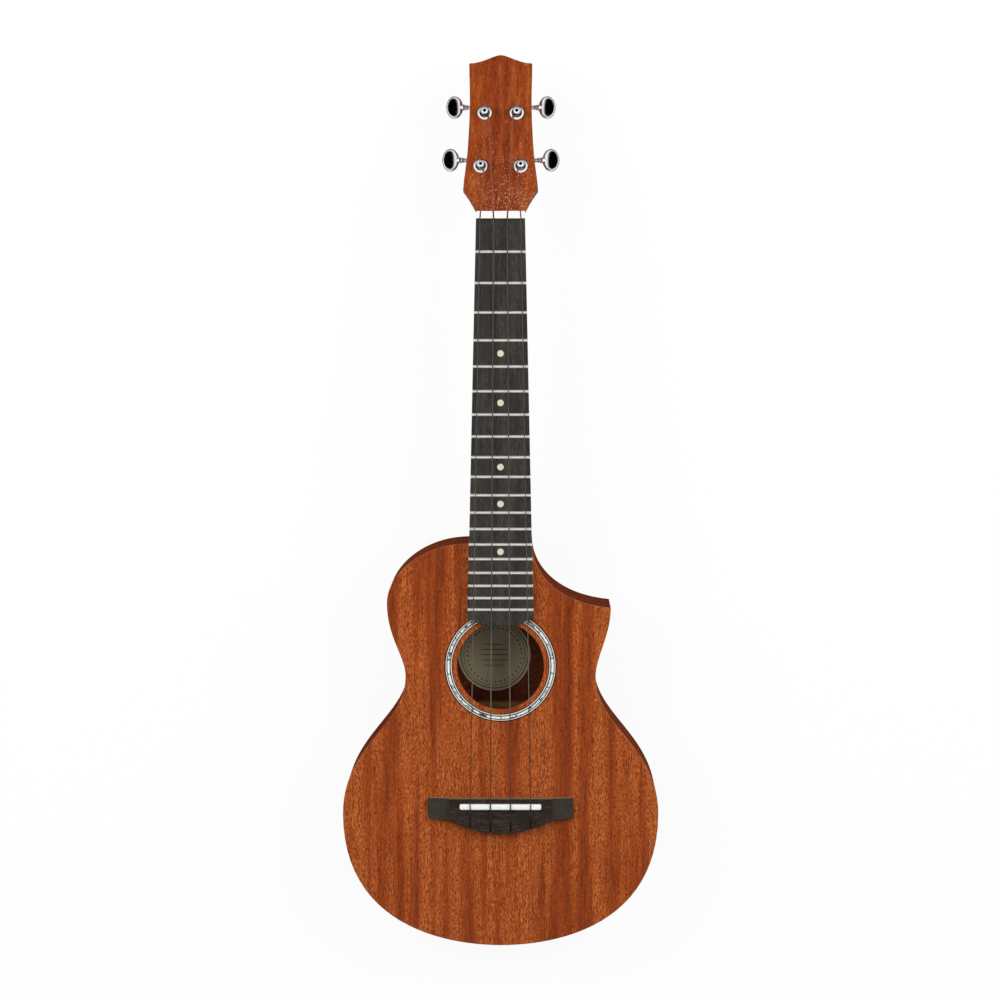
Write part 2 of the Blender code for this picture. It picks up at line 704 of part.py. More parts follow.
def bridge_plate(tail_block_face):
    """The plate glued under the bridge, with the three fan braces that cross it."""
    middle = SADDLE_Y - (BRIDGE_REAR - BRIDGE_FRONT) / 2
    low = (-BRIDGE_PLATE_HALF, middle - BRIDGE_PLATE_DEPTH / 2, INSIDE_TOP - BRIDGE_PLATE_THICKNESS)
    high = (BRIDGE_PLATE_HALF, middle + BRIDGE_PLATE_DEPTH / 2, INSIDE_TOP)
    plate = place("bridge_plate", box_mesh("bridge_plate", [(low, high)]), "inner_wood")
    front = SADDLE_Y + FAN_BRACE_BEFORE_SADDLE
    rear = tail_block_face + FAN_BRACE_END_CLEARANCE
    half = (FAN_BRACE_WIDTH / 2, (front - rear) / 2)
    for index in (-1, 0, 1):
        place_in_plan = Matrix.Translation((index * FAN_BRACE_SPACING, (front + rear) / 2, 0))
        turn = Matrix.Rotation(index * FAN_BRACE_ANGLE, 4, "Z")
        low = (-half[0], -half[1], INSIDE_TOP - FAN_BRACE_HEIGHT)
        high = (half[0], half[1], INSIDE_TOP)
        name = f"fan_brace_{index + 2}"
        bar = place(name, box_mesh(name, [(low, high)], place_in_plan @ turn))
        boolean(plate, "UNION", bar)


def neck_section(y, half, top, depth, cap_half):
    """One closed section of the neck: flat on top, and a round or tapered lower side."""
    blend = min(1, max(0, (depth - NECK_DEPTH_AT_HEEL) / (2 * NECK_DEPTH_AT_HEEL)))
    exponent = 1 - 0.35 * blend
    points = []
    for step in range(NECK_SIDES + 1):
        angle = math.pi * step / NECK_SIDES
        across = math.copysign(abs(math.cos(angle)) ** exponent, math.cos(angle))
        down = math.sin(angle) ** exponent
        width = half - blend * (half - cap_half) * down
        points.append((across * width, y, top - depth * down))
    return points


def neck_shaft_mesh():
    """A loft from the heel to the back of the nut, which ends inside the headstock."""
    heel_depth = NUT_SEAT - HEEL_CAP_HEIGHT
    joint = BODY_Y + GAP
    sections = []
    for distance in (0, HEEL_CAP_LENGTH):
        half = fretboard_half(BODY_AT - distance)
        sections.append(neck_section(joint + distance, half, NUT_SEAT, heel_depth, HEEL_CAP_HALF))
    for step in range(1, HEEL_STEPS + 1):
        angle = math.pi / 2 * (1 - step / HEEL_STEPS)
        distance = HEEL_LENGTH - (HEEL_LENGTH - HEEL_CAP_LENGTH) * math.sin(angle)
        depth = heel_depth + (NECK_DEPTH_AT_HEEL - heel_depth) * math.cos(angle)
        half = fretboard_half(BODY_AT - distance)
        sections.append(neck_section(joint + distance, half, NUT_SEAT, depth, HEEL_CAP_HALF))
    sections.append(neck_section(NUT_Y, NUT_HALF, NUT_SEAT, NECK_DEPTH_AT_NUT, NUT_HALF))
    back = NUT_Y + NUT_THICKNESS
    sections.append(neck_section(back, NUT_HALF, NUT_SEAT, NECK_DEPTH_AT_NUT, NUT_HALF))
    for share, lift in ((0.5, 0.35), (1, 0.75)):
        run = HEAD_THICKNESS * 1.4 * share
        top = HEAD_FACE_START - run * math.tan(HEAD_TILT) - HEAD_THICKNESS * 0.4
        bottom = NUT_SEAT - NECK_DEPTH_AT_NUT - run * math.tan(HEAD_TILT) * (1 - lift)
        sections.append(neck_section(back + run, NUT_HALF * (1 - 0.2 * share), top, top - bottom, NUT_HALF))
    bm = bmesh.new()
    rings = []
    for section in sections:
        verts = [bm.verts.new(point) for point in section]
        rings.append([bm.edges.new(pair) for pair in zip(verts, verts[1:] + verts[:1])])
    for first, second in zip(rings, rings[1:]):
        bmesh.ops.bridge_loops(bm, edges=first + second)
    for ring in (rings[0], rings[-1]):
        bmesh.ops.contextual_create(bm, geom=ring)
    bmesh.ops.recalc_face_normals(bm, faces=bm.faces)
    return mesh_from(bm, "neck")


def head_outline():
    """The headstock's face, from the nut up the treble edge, over the crest and down again."""
    nut = (HEAD_HALF_AT_NUT, 0)
    corner = (HEAD_CORNER_HALF, HEAD_CORNER_AT)
    middle = (HEAD_MIDDLE_HALF, HEAD_MIDDLE_AT)
    waist = (HEAD_WAIST_HALF, HEAD_WAIST_AT)
    top = (HEAD_TOP_HALF, HEAD_TOP_AT)
    crest = (0, HEAD_LENGTH)
    flare = HEAD_CORNER_AT / 3
    lean = (HEAD_CORNER_HALF - HEAD_MIDDLE_HALF) / 4
    long = (HEAD_WAIST_AT - HEAD_MIDDLE_AT) / 3
    points = bezier(nut, (flare * 0.4, flare), (-flare * 0.6, -flare * 0.8), corner, HEAD_CURVE_STEPS)
    points += bezier(corner, (-lean, flare * 2), (lean, -flare * 2), middle, HEAD_CURVE_STEPS)
    points += bezier(middle, (-lean, long), (0, -long), waist, HEAD_CURVE_STEPS)
    points += bezier(waist, (0, long), (0, -long), top, HEAD_CURVE_STEPS)
    points += bezier(top, (-HEAD_TOP_HALF * 0.3, 0), (HEAD_TOP_HALF * 0.15, 0), crest, HEAD_CURVE_STEPS)
    mirrored = [Vector((-point.x, point.y)) for point in reversed(points)]
    return points + [Vector(crest)] + mirrored


def tuner_frame(side, post_x, post_at):
    """A frame on the headstock's face with its origin on a post's axis."""
    return HEAD_FRAME @ Matrix.Translation((side * post_x, post_at, 0))


def screw_places():
    """Where a tuner's two screws go, along the headstock from its post."""
    return -(PLATE_TAIL_END - TUNER_SCREW_SEAT), PLATE_HEAD_END - TUNER_SCREW_SEAT


def neck():
    """Neck, heel and headstock in one piece of wood, drilled for the tuners."""
    wood = place("neck", neck_shaft_mesh(), "neck_wood")
    head = flat_mesh("headstock", [head_outline()], -HEAD_THICKNESS, 0, HEAD_FRAME)
    boolean(wood, "UNION", place("headstock", head))
    low = (-2 * NUT_HALF, NUT_Y - NUT_THICKNESS, NUT_SEAT)
    high = (2 * NUT_HALF, NUT_Y + NUT_THICKNESS + GAP, NUT_SEAT + 2 * NUT_HEIGHT)
    boolean(wood, "DIFFERENCE", place("nut_seat", box_mesh("nut_seat", [(low, high)])))
    holes = []
    for side, post_x, post_at, _ in TUNERS.values():
        frame = tuner_frame(side, post_x, post_at)
        holes.append((frame, BUSHING_RADIUS + GAP, -2 * HEAD_THICKNESS, HEAD_THICKNESS))
    boolean(wood, "DIFFERENCE", place("post_holes", rod_mesh("post_holes", holes)))
    pilots = []
    for side, post_x, post_at, _ in TUNERS.values():
        frame = tuner_frame(side, post_x, post_at)
        for place_at in screw_places():
            spot = frame @ Matrix.Translation((0, place_at, 0))
            bottom = TUNER_PLATE_BOTTOM + SCREW_LENGTH + GAP
            pilots.append((spot, SCREW_RADIUS + GAP, -2 * HEAD_THICKNESS, bottom))
    boolean(wood, "DIFFERENCE", place("pilot_holes", rod_mesh("pilot_holes", pilots, 8)))


def fretboard():
    end = FRETBOARD_END
    half = fretboard_half(end)
    tongue = end + FRETBOARD_TONGUE
    corner = Vector((half, NUT_Y - end))
    tip = Vector((FRETBOARD_TONGUE_HALF, NUT_Y - tongue))
    handle = (half - FRETBOARD_TONGUE_HALF) / 2
    edge = [Vector((NUT_HALF, NUT_Y - GAP))]
    edge += bezier(corner, (-handle, 0), (handle, 0), tip, HEAD_CURVE_STEPS) + [tip]
    outline = edge + [Vector((-point.x, point.y)) for point in reversed(edge)]
    mesh = flat_mesh("fretboard", [outline], FRETBOARD_UNDERSIDE, FRETBOARD_TOP)
    board = place("fretboard", mesh, "dark_hardwood")
    slots = []
    half_slot = FRET_TANG_WIDTH / 2 + GAP
    for number in range(1, FRET_COUNT + 1):
        y = NUT_Y - fret_distance(number)
        low = (-2 * half, y - half_slot, FRETBOARD_TOP - FRET_TANG_DEPTH - GAP)
        slots.append((low, (2 * half, y + half_slot, FRETBOARD_TOP + GAP)))
    boolean(board, "DIFFERENCE", place("fret_slots", box_mesh("fret_slots", slots)))


def fret(number):
    """A crown that sits over the board and a tang that stands in its slot."""
    distance = fret_distance(number)
    half = fretboard_half(distance) + FRET_OVERHANG
    profile = []
    for step in range(CROWN_STEPS + 1):
        angle = math.pi * step / CROWN_STEPS
        across = FRET_CROWN_WIDTH / 2 * math.cos(angle)
        profile.append((across, GAP + FRET_CROWN_HEIGHT * math.sin(angle)))
    tang = FRET_TANG_WIDTH / 2
    profile += [(-tang, GAP), (-tang, -FRET_TANG_DEPTH), (tang, -FRET_TANG_DEPTH), (tang, GAP)]
    spot = Matrix.Translation((0, NUT_Y - distance, FRETBOARD_TOP))
    name = f"fret_{number:02d}"
    place(name, flat_mesh(name, [profile], -half, half, spot @ CROSSWISE), "fret_wire")


def string_x(index, spacing):
    return (index - 1.5) * spacing


def nut():
    low = (-NUT_HALF, NUT_Y, NUT_SEAT + GAP)
    high = (NUT_HALF, NUT_Y + NUT_THICKNESS, NUT_SEAT + GAP + NUT_HEIGHT)
    block = place("nut", box_mesh("nut", [(low, high)]), "white_bone")
    for tuner in TUNERS.values():
        over_nut, at_post = string_path(tuner)[3:5]
        turn = (at_post - over_nut).to_track_quat("Y", "Z").to_matrix().to_4x4()
        half = STRING_DIAMETERS[tuner[3]] / 2 + GAP
        size = 2 * NUT_THICKNESS
        name = f"nut_slot_{tuner[3] + 1}"
        box = ((-half, -size, -half), (half, size, size))
        mesh = box_mesh(name, [box], Matrix.Translation(over_nut) @ turn)
        boolean(block, "DIFFERENCE", place(name, mesh))


def bridge_rear(x):
    """The bridge's rear edge behind the saddle line, at a distance from its middle."""
    rear = [point for point in bridge_edge() if point.y > BRIDGE_WING_REAR - MERGE]
    for first, second in zip(rear, rear[1:]):
        if second.x <= abs(x) <= first.x:
            share = (first.x - abs(x)) / (first.x - second.x)
            return first.lerp(second, share).y
    return BRIDGE_REAR


def bridge_edge():
    """Half of the bridge's outline, from the front of the treble wing to the middle of the rear."""
    corner = BRIDGE_CORNER
    edge = arc((BRIDGE_HALF - corner, corner - BRIDGE_FRONT), corner, -90, 0, 3)
    tip_rear = BRIDGE_WING_REAR - BRIDGE_WING_TAPER
    edge += arc((BRIDGE_HALF - corner, tip_rear - corner), corner, 0, 90, 3)
    bulge = BRIDGE_REAR - BRIDGE_WING_REAR
    step = (BRIDGE_STEP_X, BRIDGE_WING_REAR)
    edge += bezier(step, (-bulge, bulge / 2), (bulge * 1.5, 0), (0, BRIDGE_REAR), CURVE_STEPS)
    return edge + [Vector((0, BRIDGE_REAR))]


def bridge():
    half = [Vector((point.x, SADDLE_Y - point.y)) for point in bridge_edge()]
    outline = half + [Vector((-point.x, point.y)) for point in reversed(half[:-1])]
    mesh = flat_mesh("bridge", [outline], BRIDGE_UNDERSIDE, BRIDGE_TOP)
    block = place("bridge", mesh, "dark_hardwood")
    reach_out = BRIDGE_HALF + BRIDGE_CORNER
    for side in (-1, 1):
        step = (BRIDGE_STEP_X, BRIDGE_WING_HEIGHT + BRIDGE_CORNER)
        scoop = [Vector((BRIDGE_STEP_X, 2 * BRIDGE_HEIGHT))]
        scoop += bezier(
            step, (0, -BRIDGE_CORNER), (-BRIDGE_CORNER * 2, 0), (BRIDGE_HALF, BRIDGE_TIP_HEIGHT), 6
        )
        scoop += [Vector((reach_out, BRIDGE_TIP_HEIGHT)), Vector((reach_out, 2 * BRIDGE_HEIGHT))]
        outline = [Vector((side * point.x, point.y)) for point in scoop]
        name = f"wing_cut_{'treble' if side > 0 else 'bass'}"
        spot = Matrix.Translation((0, SADDLE_Y, BRIDGE_UNDERSIDE)) @ LENGTHWISE
        cutter = flat_mesh(name, [outline], -2 * BRIDGE_REAR, 2 * BRIDGE_REAR, spot)
        boolean(block, "DIFFERENCE", place(name, cutter))
    slot_half = SADDLE_THICKNESS / 2 + GAP
    low = (-SADDLE_HALF - GAP, SADDLE_Y - slot_half, BRIDGE_TOP - SADDLE_SLOT_DEPTH)
    high = (SADDLE_HALF + GAP, SADDLE_Y + slot_half, SADDLE_TOP)
    boolean(block, "DIFFERENCE", place("saddle_slot", box_mesh("saddle_slot", [(low, high)])))
    for index, diameter in enumerate(STRING_DIAMETERS):
        boolean(block, "DIFFERENCE", string_slot(index, diameter))
        boolean(block, "DIFFERENCE", knot_pocket(index))


def knot_place(index):
    x = string_x(index, STRING_SPACING_AT_SADDLE)
    y = SADDLE_Y - bridge_rear(x) + KNOT_FROM_REAR
    return Vector((x, y, BRIDGE_UNDERSIDE + KNOT_HEIGHT))


def string_slot(index, diameter):
    """A cutter for the slot that a string drops into behind the saddle."""
    knot = knot_place(index)
    half = diameter / 2 + GAP
    rear = SADDLE_Y - bridge_rear(knot.x)
    low = (knot.x - half, rear - BRIDGE_CORNER, knot.z - half)
    high = (knot.x + half, rear + STRING_SLOT_LENGTH, SADDLE_TOP)
    name = f"string_slot_{index + 1}"
    return place(name, box_mesh(name, [(low, high)]))


def knot_pocket(index):
    """A cutter for the round pocket in the rear edge where the knot is caught."""
    knot = knot_place(index)
    radius = KNOT_RADIUS + KNOT_POCKET_CLEARANCE
    spot = Matrix.Translation(knot) @ LENGTHWISE
    name = f"knot_pocket_{index + 1}"
    return place(name, rod_mesh(name, [(spot, radius, -radius, 4 * radius)], 12))


def saddle():
    half = SADDLE_THICKNESS / 2
    bottom = -SADDLE_SLOT_DEPTH + GAP
    crest = SADDLE_OVER_BRIDGE - half
    profile = arc((0, crest), half, 0, 180, 8)
    profile += [Vector((-half, bottom)), Vector((half, bottom))]
    spot = Matrix.Translation((0, SADDLE_Y, BRIDGE_TOP)) @ CROSSWISE
    mesh = flat_mesh("saddle", [profile], -SADDLE_HALF, SADDLE_HALF, spot)
    place("saddle", mesh, "white_bone")


def bushing(name, frame):
    """A flanged ring pressed into the headstock's face, which the post turns in."""
    top = GAP + BUSHING_FLANGE_HEIGHT
    bore = POST_RADIUS + GAP
    profile = [
        (bore, top),
        (BUSHING_FLANGE_RADIUS - BUSHING_FLANGE_HEIGHT, top),
        (BUSHING_FLANGE_RADIUS, GAP + BUSHING_FLANGE_HEIGHT / 3),
        (BUSHING_FLANGE_RADIUS, GAP),
        (BUSHING_RADIUS, GAP),
        (BUSHING_RADIUS, -BUSHING_LENGTH),
        (bore, -BUSHING_LENGTH),
    ]
    place(f"tuner_bushing_{name}", turned_mesh("bushing", profile, closed=True), "chrome", frame)


def tuner_plate(name, frame, side):
    """The base plate with the two ears that carry the worm, and its two screws."""
    outline = rounded_rectangle(
        (-TUNER_PLATE_HALF, -PLATE_TAIL_END),
        (TUNER_PLATE_HALF, PLATE_HEAD_END),
        TUNER_PLATE_CORNER,
    )
    hole = circle((0, 0), POST_RADIUS + GAP, TURNED_STEPS)
    mesh = flat_mesh("tuner_plate", [outline, hole], TUNER_PLATE_BOTTOM, TUNER_PLATE_TOP)
    plate = place(f"tuner_plate_{name}", mesh, "chrome", frame)
    inside_plate = (TUNER_PLATE_TOP + TUNER_PLATE_BOTTOM) / 2
    ears = []
    for end in (-1, 1):
        near = end * EAR_START
        far = end * (EAR_START + EAR_THICKNESS)
        low = (min(near, far), WORM_OFFSET - EAR_HALF, WORM_LEVEL - EAR_HALF)
        ears.append((low, (max(near, far), WORM_OFFSET + EAR_HALF, inside_plate)))
    boolean(plate, "UNION", place(f"ears_{name}", box_mesh("ears", ears), None, frame))
    shaft = Matrix.Translation((0, WORM_OFFSET, WORM_LEVEL)) @ Matrix.Rotation(math.pi / 2, 4, "Y")
    hole = rod_mesh("ear_holes", [(shaft, SHAFT_RADIUS + GAP, -2 * EAR_START, 2 * EAR_START)], 12)
    boolean(plate, "DIFFERENCE", place(f"ear_holes_{name}", hole, None, frame))
    for index, place_at in enumerate(screw_places()):
        top = TUNER_PLATE_BOTTOM + SCREW_LENGTH
        bottom = TUNER_PLATE_BOTTOM - SCREW_HEAD_HEIGHT
        profile = [
            (0, top),
            (SCREW_RADIUS, top - SCREW_RADIUS * 2),
            (SCREW_RADIUS, inside_plate),
            (SCREW_HEAD_RADIUS, inside_plate),
            (SCREW_HEAD_RADIUS, TUNER_PLATE_BOTTOM - SCREW_HEAD_HEIGHT / 3),
            (SCREW_HEAD_RADIUS * 0.6, bottom),
            (0, bottom),
        ]
        spot = frame @ Matrix.Translation((0, place_at, 0))
        screw = place(f"screw_{name}_{index + 1}", turned_mesh("screw", profile, steps=8), None, spot)
        boolean(plate, "UNION", screw)


def gear_mesh(side):
    """A gear whose teeth lean with the worm's thread and are a little narrower than its gaps."""
    bm = bmesh.new()
    points_a_tooth = 4
    bmesh.ops.create_cone(
        bm,
        cap_ends=True,
        segments=GEAR_TEETH * points_a_tooth,
        radius1=1,
        radius2=1,
        depth=GEAR_THICKNESS,
    )
    root = GEAR_TIP_RADIUS - TOOTH_HEIGHT
    lean = THREAD_PITCH / (2 * math.pi * WORM_PITCH_RADIUS) / GEAR_PITCH_RADIUS
    for vert in bm.verts:
        angle = math.atan2(vert.co.x, vert.co.y)
        wave = (1 + math.cos(GEAR_TEETH * angle)) / 2
        radius = root + TOOTH_HEIGHT * wave**1.6
        turned = -angle + side * lean * vert.co.z
        vert.co.x = -radius * math.sin(turned)
        vert.co.y = radius * math.cos(turned)
    bmesh.ops.translate(bm, verts=bm.verts, vec=(0, 0, WORM_LEVEL))
    return mesh_from(bm, "gear")


def post(name, frame, side):
    """The string post, with its gear and the screw that holds the gear below it."""
    axis = bpy.data.objects.new(f"axis_post_{name}", None)
    PARTS.objects.link(axis)
    axis.matrix_world = frame
    shoulder = POST_HEIGHT - POST_CAP_HEIGHT
    gear_bottom = WORM_LEVEL - GEAR_THICKNESS / 2
    edge = POST_CAP_RADIUS - POST_WAIST_RADIUS
    profile = [
        (0, POST_HEIGHT),
        (POST_CAP_RADIUS - edge, POST_HEIGHT),
        (POST_CAP_RADIUS, POST_HEIGHT - edge),
        (POST_CAP_RADIUS, shoulder + edge / 2),
        (POST_WAIST_RADIUS, shoulder),
        (POST_WAIST_RADIUS, GAP + BUSHING_FLANGE_HEIGHT + edge),
        (POST_RADIUS, GAP + BUSHING_FLANGE_HEIGHT),
        (POST_RADIUS, gear_bottom - GAP),
        (GEAR_SCREW_RADIUS, gear_bottom - GAP),
        (GEAR_SCREW_RADIUS, gear_bottom - GEAR_SCREW_HEIGHT),
        (GEAR_SCREW_RADIUS * 0.7, gear_bottom - GEAR_SCREW_HEIGHT - GAP),
        (0, gear_bottom - GEAR_SCREW_HEIGHT - GAP),
    ]
    shaft = place(f"tuner_post_{name}", turned_mesh("post", profile), "chrome", None, axis)
    gear = place(f"gear_{name}", gear_mesh(side), None, frame)
    boolean(shaft, "UNION", gear)
    across = Matrix.Translation((0, 0, shoulder + POST_CAP_HEIGHT / 2)) @ LENGTHWISE
    reach_out = 2 * POST_CAP_RADIUS
    hole = rod_mesh("post_hole", [(across, POST_HOLE_RADIUS, -reach_out, reach_out)], 8)
    boolean(shaft, "DIFFERENCE", place(f"post_hole_{name}", hole, None, frame))


def thread_radius(outward, angle):
    """Radius of the worm at a distance towards its knob and an angle round its axis.

    The thread is right-handed on the treble side and its mirror image on the bass side.
    """
    phase = 2 * math.pi * outward / THREAD_PITCH - angle
    return WORM_PITCH_RADIUS + TOOTH_HEIGHT / 2 * math.cos(phase)


def key_shaft_mesh(side):
    """The worm, its shaft and the cone that carries the knob, as rings moved along a cylinder."""
    worm_rings = round(WORM_LENGTH / THREAD_PITCH * WORM_RINGS_A_TURN)
    worm_end = WORM_LENGTH / 2
    ear_end = EAR_START + EAR_THICKNESS + GAP
    knob_start = KNOB_CENTRE - KNOB_HALF_LENGTH
    rings = [(-ear_end - SHAFT_INNER_END, SHAFT_RADIUS), (-worm_end - MERGE, SHAFT_RADIUS)]
    for step in range(worm_rings + 1):
        rings.append((-worm_end + WORM_LENGTH * step / worm_rings, None))
    rings += [
        (worm_end + MERGE, SHAFT_RADIUS),
        (ear_end + GAP, SHAFT_RADIUS),
        (ear_end + 2 * GAP, COLLAR_RADIUS),
        (ear_end + 2 * GAP + COLLAR_LENGTH, COLLAR_RADIUS),
        (ear_end + 3 * GAP + COLLAR_LENGTH, SHAFT_RADIUS),
        (knob_start - KNOB_NECK_LENGTH, SHAFT_RADIUS),
        (knob_start, COLLAR_RADIUS),
        (KNOB_CENTRE, KNOB_THICKNESS / 4),
    ]
    bm = bmesh.new()
    bmesh.ops.create_cone(
        bm, cap_ends=True, segments=WORM_SIDES, radius1=1, radius2=1, depth=len(rings) - 1
    )
    long_edges = [edge for edge in bm.edges if abs(edge.verts[0].co.z - edge.verts[1].co.z) > 1]
    bmesh.ops.subdivide_edges(bm, edges=long_edges, cuts=len(rings) - 2, use_grid_fill=False)
    for vert in bm.verts:
        x, radius = rings[round(vert.co.z + (len(rings) - 1) / 2)]
        angle = math.atan2(vert.co.y, vert.co.x)
        if radius is None:
            radius = thread_radius(x, angle)
        vert.co = (side * x, radius * math.cos(angle), radius * math.sin(angle))
    bmesh.ops.recalc_face_normals(bm, faces=bm.faces)
    return mesh_from(bm, "key")


def knob_mesh(side):
    """An oval button with rounded edges, flat sides to the front and the back."""
    bm = bmesh.new()
    size = Matrix.Diagonal((KNOB_HALF_LENGTH, KNOB_HALF_WIDTH, 1, 1))
    spot = Matrix.Translation((side * KNOB_CENTRE, 0, 0))
    bmesh.ops.create_cone(
        bm, cap_ends=True, segments=18, radius1=1, radius2=1, depth=KNOB_THICKNESS, matrix=spot @ size
    )
    rims = [edge for edge in bm.edges if abs(edge.verts[0].co.z - edge.verts[1].co.z) < MERGE]
    bmesh.ops.bevel(
        bm, geom=rims, offset=KNOB_EDGE, segments=2, profile=0.5, affect="EDGES", material=-1
    )
    return mesh_from(bm, "knob")


def key(name, frame, side):
    """The key that turns a post: knob, shaft and worm in one."""
    axis = bpy.data.objects.new(f"axis_key_{name}", None)
    PARTS.objects.link(axis)
    axis.matrix_world = frame @ Matrix.Translation((0, WORM_OFFSET, WORM_LEVEL))
    shaft = place(f"tuner_key_{name}", key_shaft_mesh(side), "chrome", None, axis)
    button = place(f"knob_{name}", knob_mesh(side), None, axis.matrix_world)
    boolean(shaft, "UNION", button)


def tuners():
    for name, (side, post_x, post_at, _) in TUNERS.items():
        frame = tuner_frame(side, post_x, post_at)
        bushing(name, frame)
        tuner_plate(name, frame, side)
        post(name, frame, side)
        key(name, frame, side)


def string_path(tuner):
    """Points along a string from its knot to the end of its winding round the post."""
    side, post_x, post_at, index = tuner
    radius = STRING_DIAMETERS[index] / 2
    knot = knot_place(index)
    crest = Vector((knot.x, SADDLE_Y, SADDLE_TOP + GAP + radius))
    slot_start = SADDLE_Y - bridge_rear(knot.x) + STRING_SLOT_LENGTH
    entry = Vector((knot.x, slot_start, BRIDGE_TOP + GAP + radius))
    nut_x = string_x(index, STRING_SPACING_AT_NUT)
    over_nut = Vector((nut_x, NUT_Y, FRET_TOP + STRING_OVER_FRETS_AT_NUT + radius))
    points = [knot, entry, crest, over_nut]
    frame = tuner_frame(side, post_x, post_at)
    turn_radius = POST_WAIST_RADIUS + GAP + radius
    count = round(WINDING_TURNS * WINDING_STEPS)
    for step in range(count + 1):
        angle = 2 * math.pi * step / WINDING_STEPS
        height = WINDING_START + WINDING_PITCH * step / WINDING_STEPS
        spot = Vector((-side * turn_radius * math.cos(angle), turn_radius * math.sin(angle), height))
        points.append(frame @ spot)
    return points


def winding_gap(points, diameter):
    """Least gap between one turn of a winding and the next."""
    turns = points[4:]
    nearest = math.inf
    for index, point in enumerate(turns):
        for other in turns[index + WINDING_STEPS // 2:]:
            nearest = min(nearest, (point - other).length)
    return nearest - diameter


def string(tuner):
    """One unbroken tube: knot, slot, saddle, nut and the winding round its post."""
    index = tuner[3]
    diameter = STRING_DIAMETERS[index]
    points = string_path(tuner)
    gap = winding_gap(points, diameter)
    print(f"string {index + 1}: least gap between turns {gap / MM:.2f} mm")
    name = f"string_{index + 1}"
    curve = bpy.data.curves.new(name, "CURVE")
    curve.dimensions = "3D"
    curve.bevel_depth = diameter / 2
    curve.bevel_resolution = 1
    curve.use_fill_caps = True
    spline = curve.splines.new("POLY")
    spline.points.add(len(points) - 1)
    for point, spot in zip(spline.points, points):
        point.co = (*spot, 1)
    tube = place(name, curve_to_mesh(name, curve), "string")
    bm = bmesh.new()
    spot = Matrix.Translation(knot_place(index))
    bmesh.ops.create_uvsphere(bm, u_segments=10, v_segments=6, radius=KNOT_RADIUS, matrix=spot)
    boolean(tube, "UNION", place(f"knot_{index + 1}", mesh_from(bm, "knot")))


soundboard()
rosette()
back_plate()
sides()
neck_block_half, neck_block_end, tail_block_face = blocks()
linings(neck_block_half, neck_block_end)
bracing()
bridge_plate(tail_block_face)
neck()
fretboard()
for fret_number in range(1, FRET_COUNT + 1):
    fret(fret_number)
nut()
bridge()
saddle()
tuners()
for tuner_row in TUNERS.values():
    string(tuner_row)
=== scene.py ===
"""Tenor ukulele with a sharp cutaway: the pieces and finishes that dress its CAD model.

The instrument lies on its flat back. +Z is the outward normal of the soundboard, +Y points to the
headstock and +X to the cutaway (treble) side. The model loaded below is a fixed frame, and every
piece is made where that frame has it, in metres.
"""

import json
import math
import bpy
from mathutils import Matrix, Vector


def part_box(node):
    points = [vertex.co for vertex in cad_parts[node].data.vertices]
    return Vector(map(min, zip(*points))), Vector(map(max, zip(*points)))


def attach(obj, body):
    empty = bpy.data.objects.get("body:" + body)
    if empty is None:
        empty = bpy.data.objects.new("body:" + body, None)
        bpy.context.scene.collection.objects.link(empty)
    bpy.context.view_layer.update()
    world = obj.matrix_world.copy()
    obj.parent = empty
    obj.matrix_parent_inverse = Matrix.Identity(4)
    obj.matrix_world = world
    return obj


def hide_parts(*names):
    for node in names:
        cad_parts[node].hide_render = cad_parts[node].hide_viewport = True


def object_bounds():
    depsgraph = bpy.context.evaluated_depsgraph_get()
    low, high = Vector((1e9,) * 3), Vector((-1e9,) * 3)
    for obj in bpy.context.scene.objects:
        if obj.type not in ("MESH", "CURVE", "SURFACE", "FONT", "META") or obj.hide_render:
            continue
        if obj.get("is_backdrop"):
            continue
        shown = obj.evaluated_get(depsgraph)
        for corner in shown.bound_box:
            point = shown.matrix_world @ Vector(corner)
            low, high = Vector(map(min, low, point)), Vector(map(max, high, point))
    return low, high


bl_info = {"name": "Tenor Ukulele", "version": (1, 0, 0), "blender": (4, 5, 0),
    "location": "3D View > Sidebar > Ukulele",
    "description": "Makes the pieces and finishes of a tenor ukulele around its CAD model",
    "category": "Object"}

from functools import partial

import bmesh
import bpy
from bpy.props import FloatProperty, FloatVectorProperty, IntProperty, PointerProperty
from bpy.types import Operator, Panel, PropertyGroup
from mathutils import Matrix, Vector
from mathutils.geometry import interpolate_bezier

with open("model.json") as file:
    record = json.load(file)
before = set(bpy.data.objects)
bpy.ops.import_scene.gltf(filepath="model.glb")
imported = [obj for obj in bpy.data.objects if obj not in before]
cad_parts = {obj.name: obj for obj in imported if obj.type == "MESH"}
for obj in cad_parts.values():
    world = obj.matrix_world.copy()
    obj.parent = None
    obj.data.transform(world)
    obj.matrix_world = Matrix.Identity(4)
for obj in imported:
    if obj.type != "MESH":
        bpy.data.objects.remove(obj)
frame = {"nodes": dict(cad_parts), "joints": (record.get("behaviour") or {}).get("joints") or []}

MM = 0.001
JOINTS = {joint["name"]: joint for joint in frame["joints"]}
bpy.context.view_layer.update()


def box_centre(node):
    low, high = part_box(node)
    return (low + high) / 2


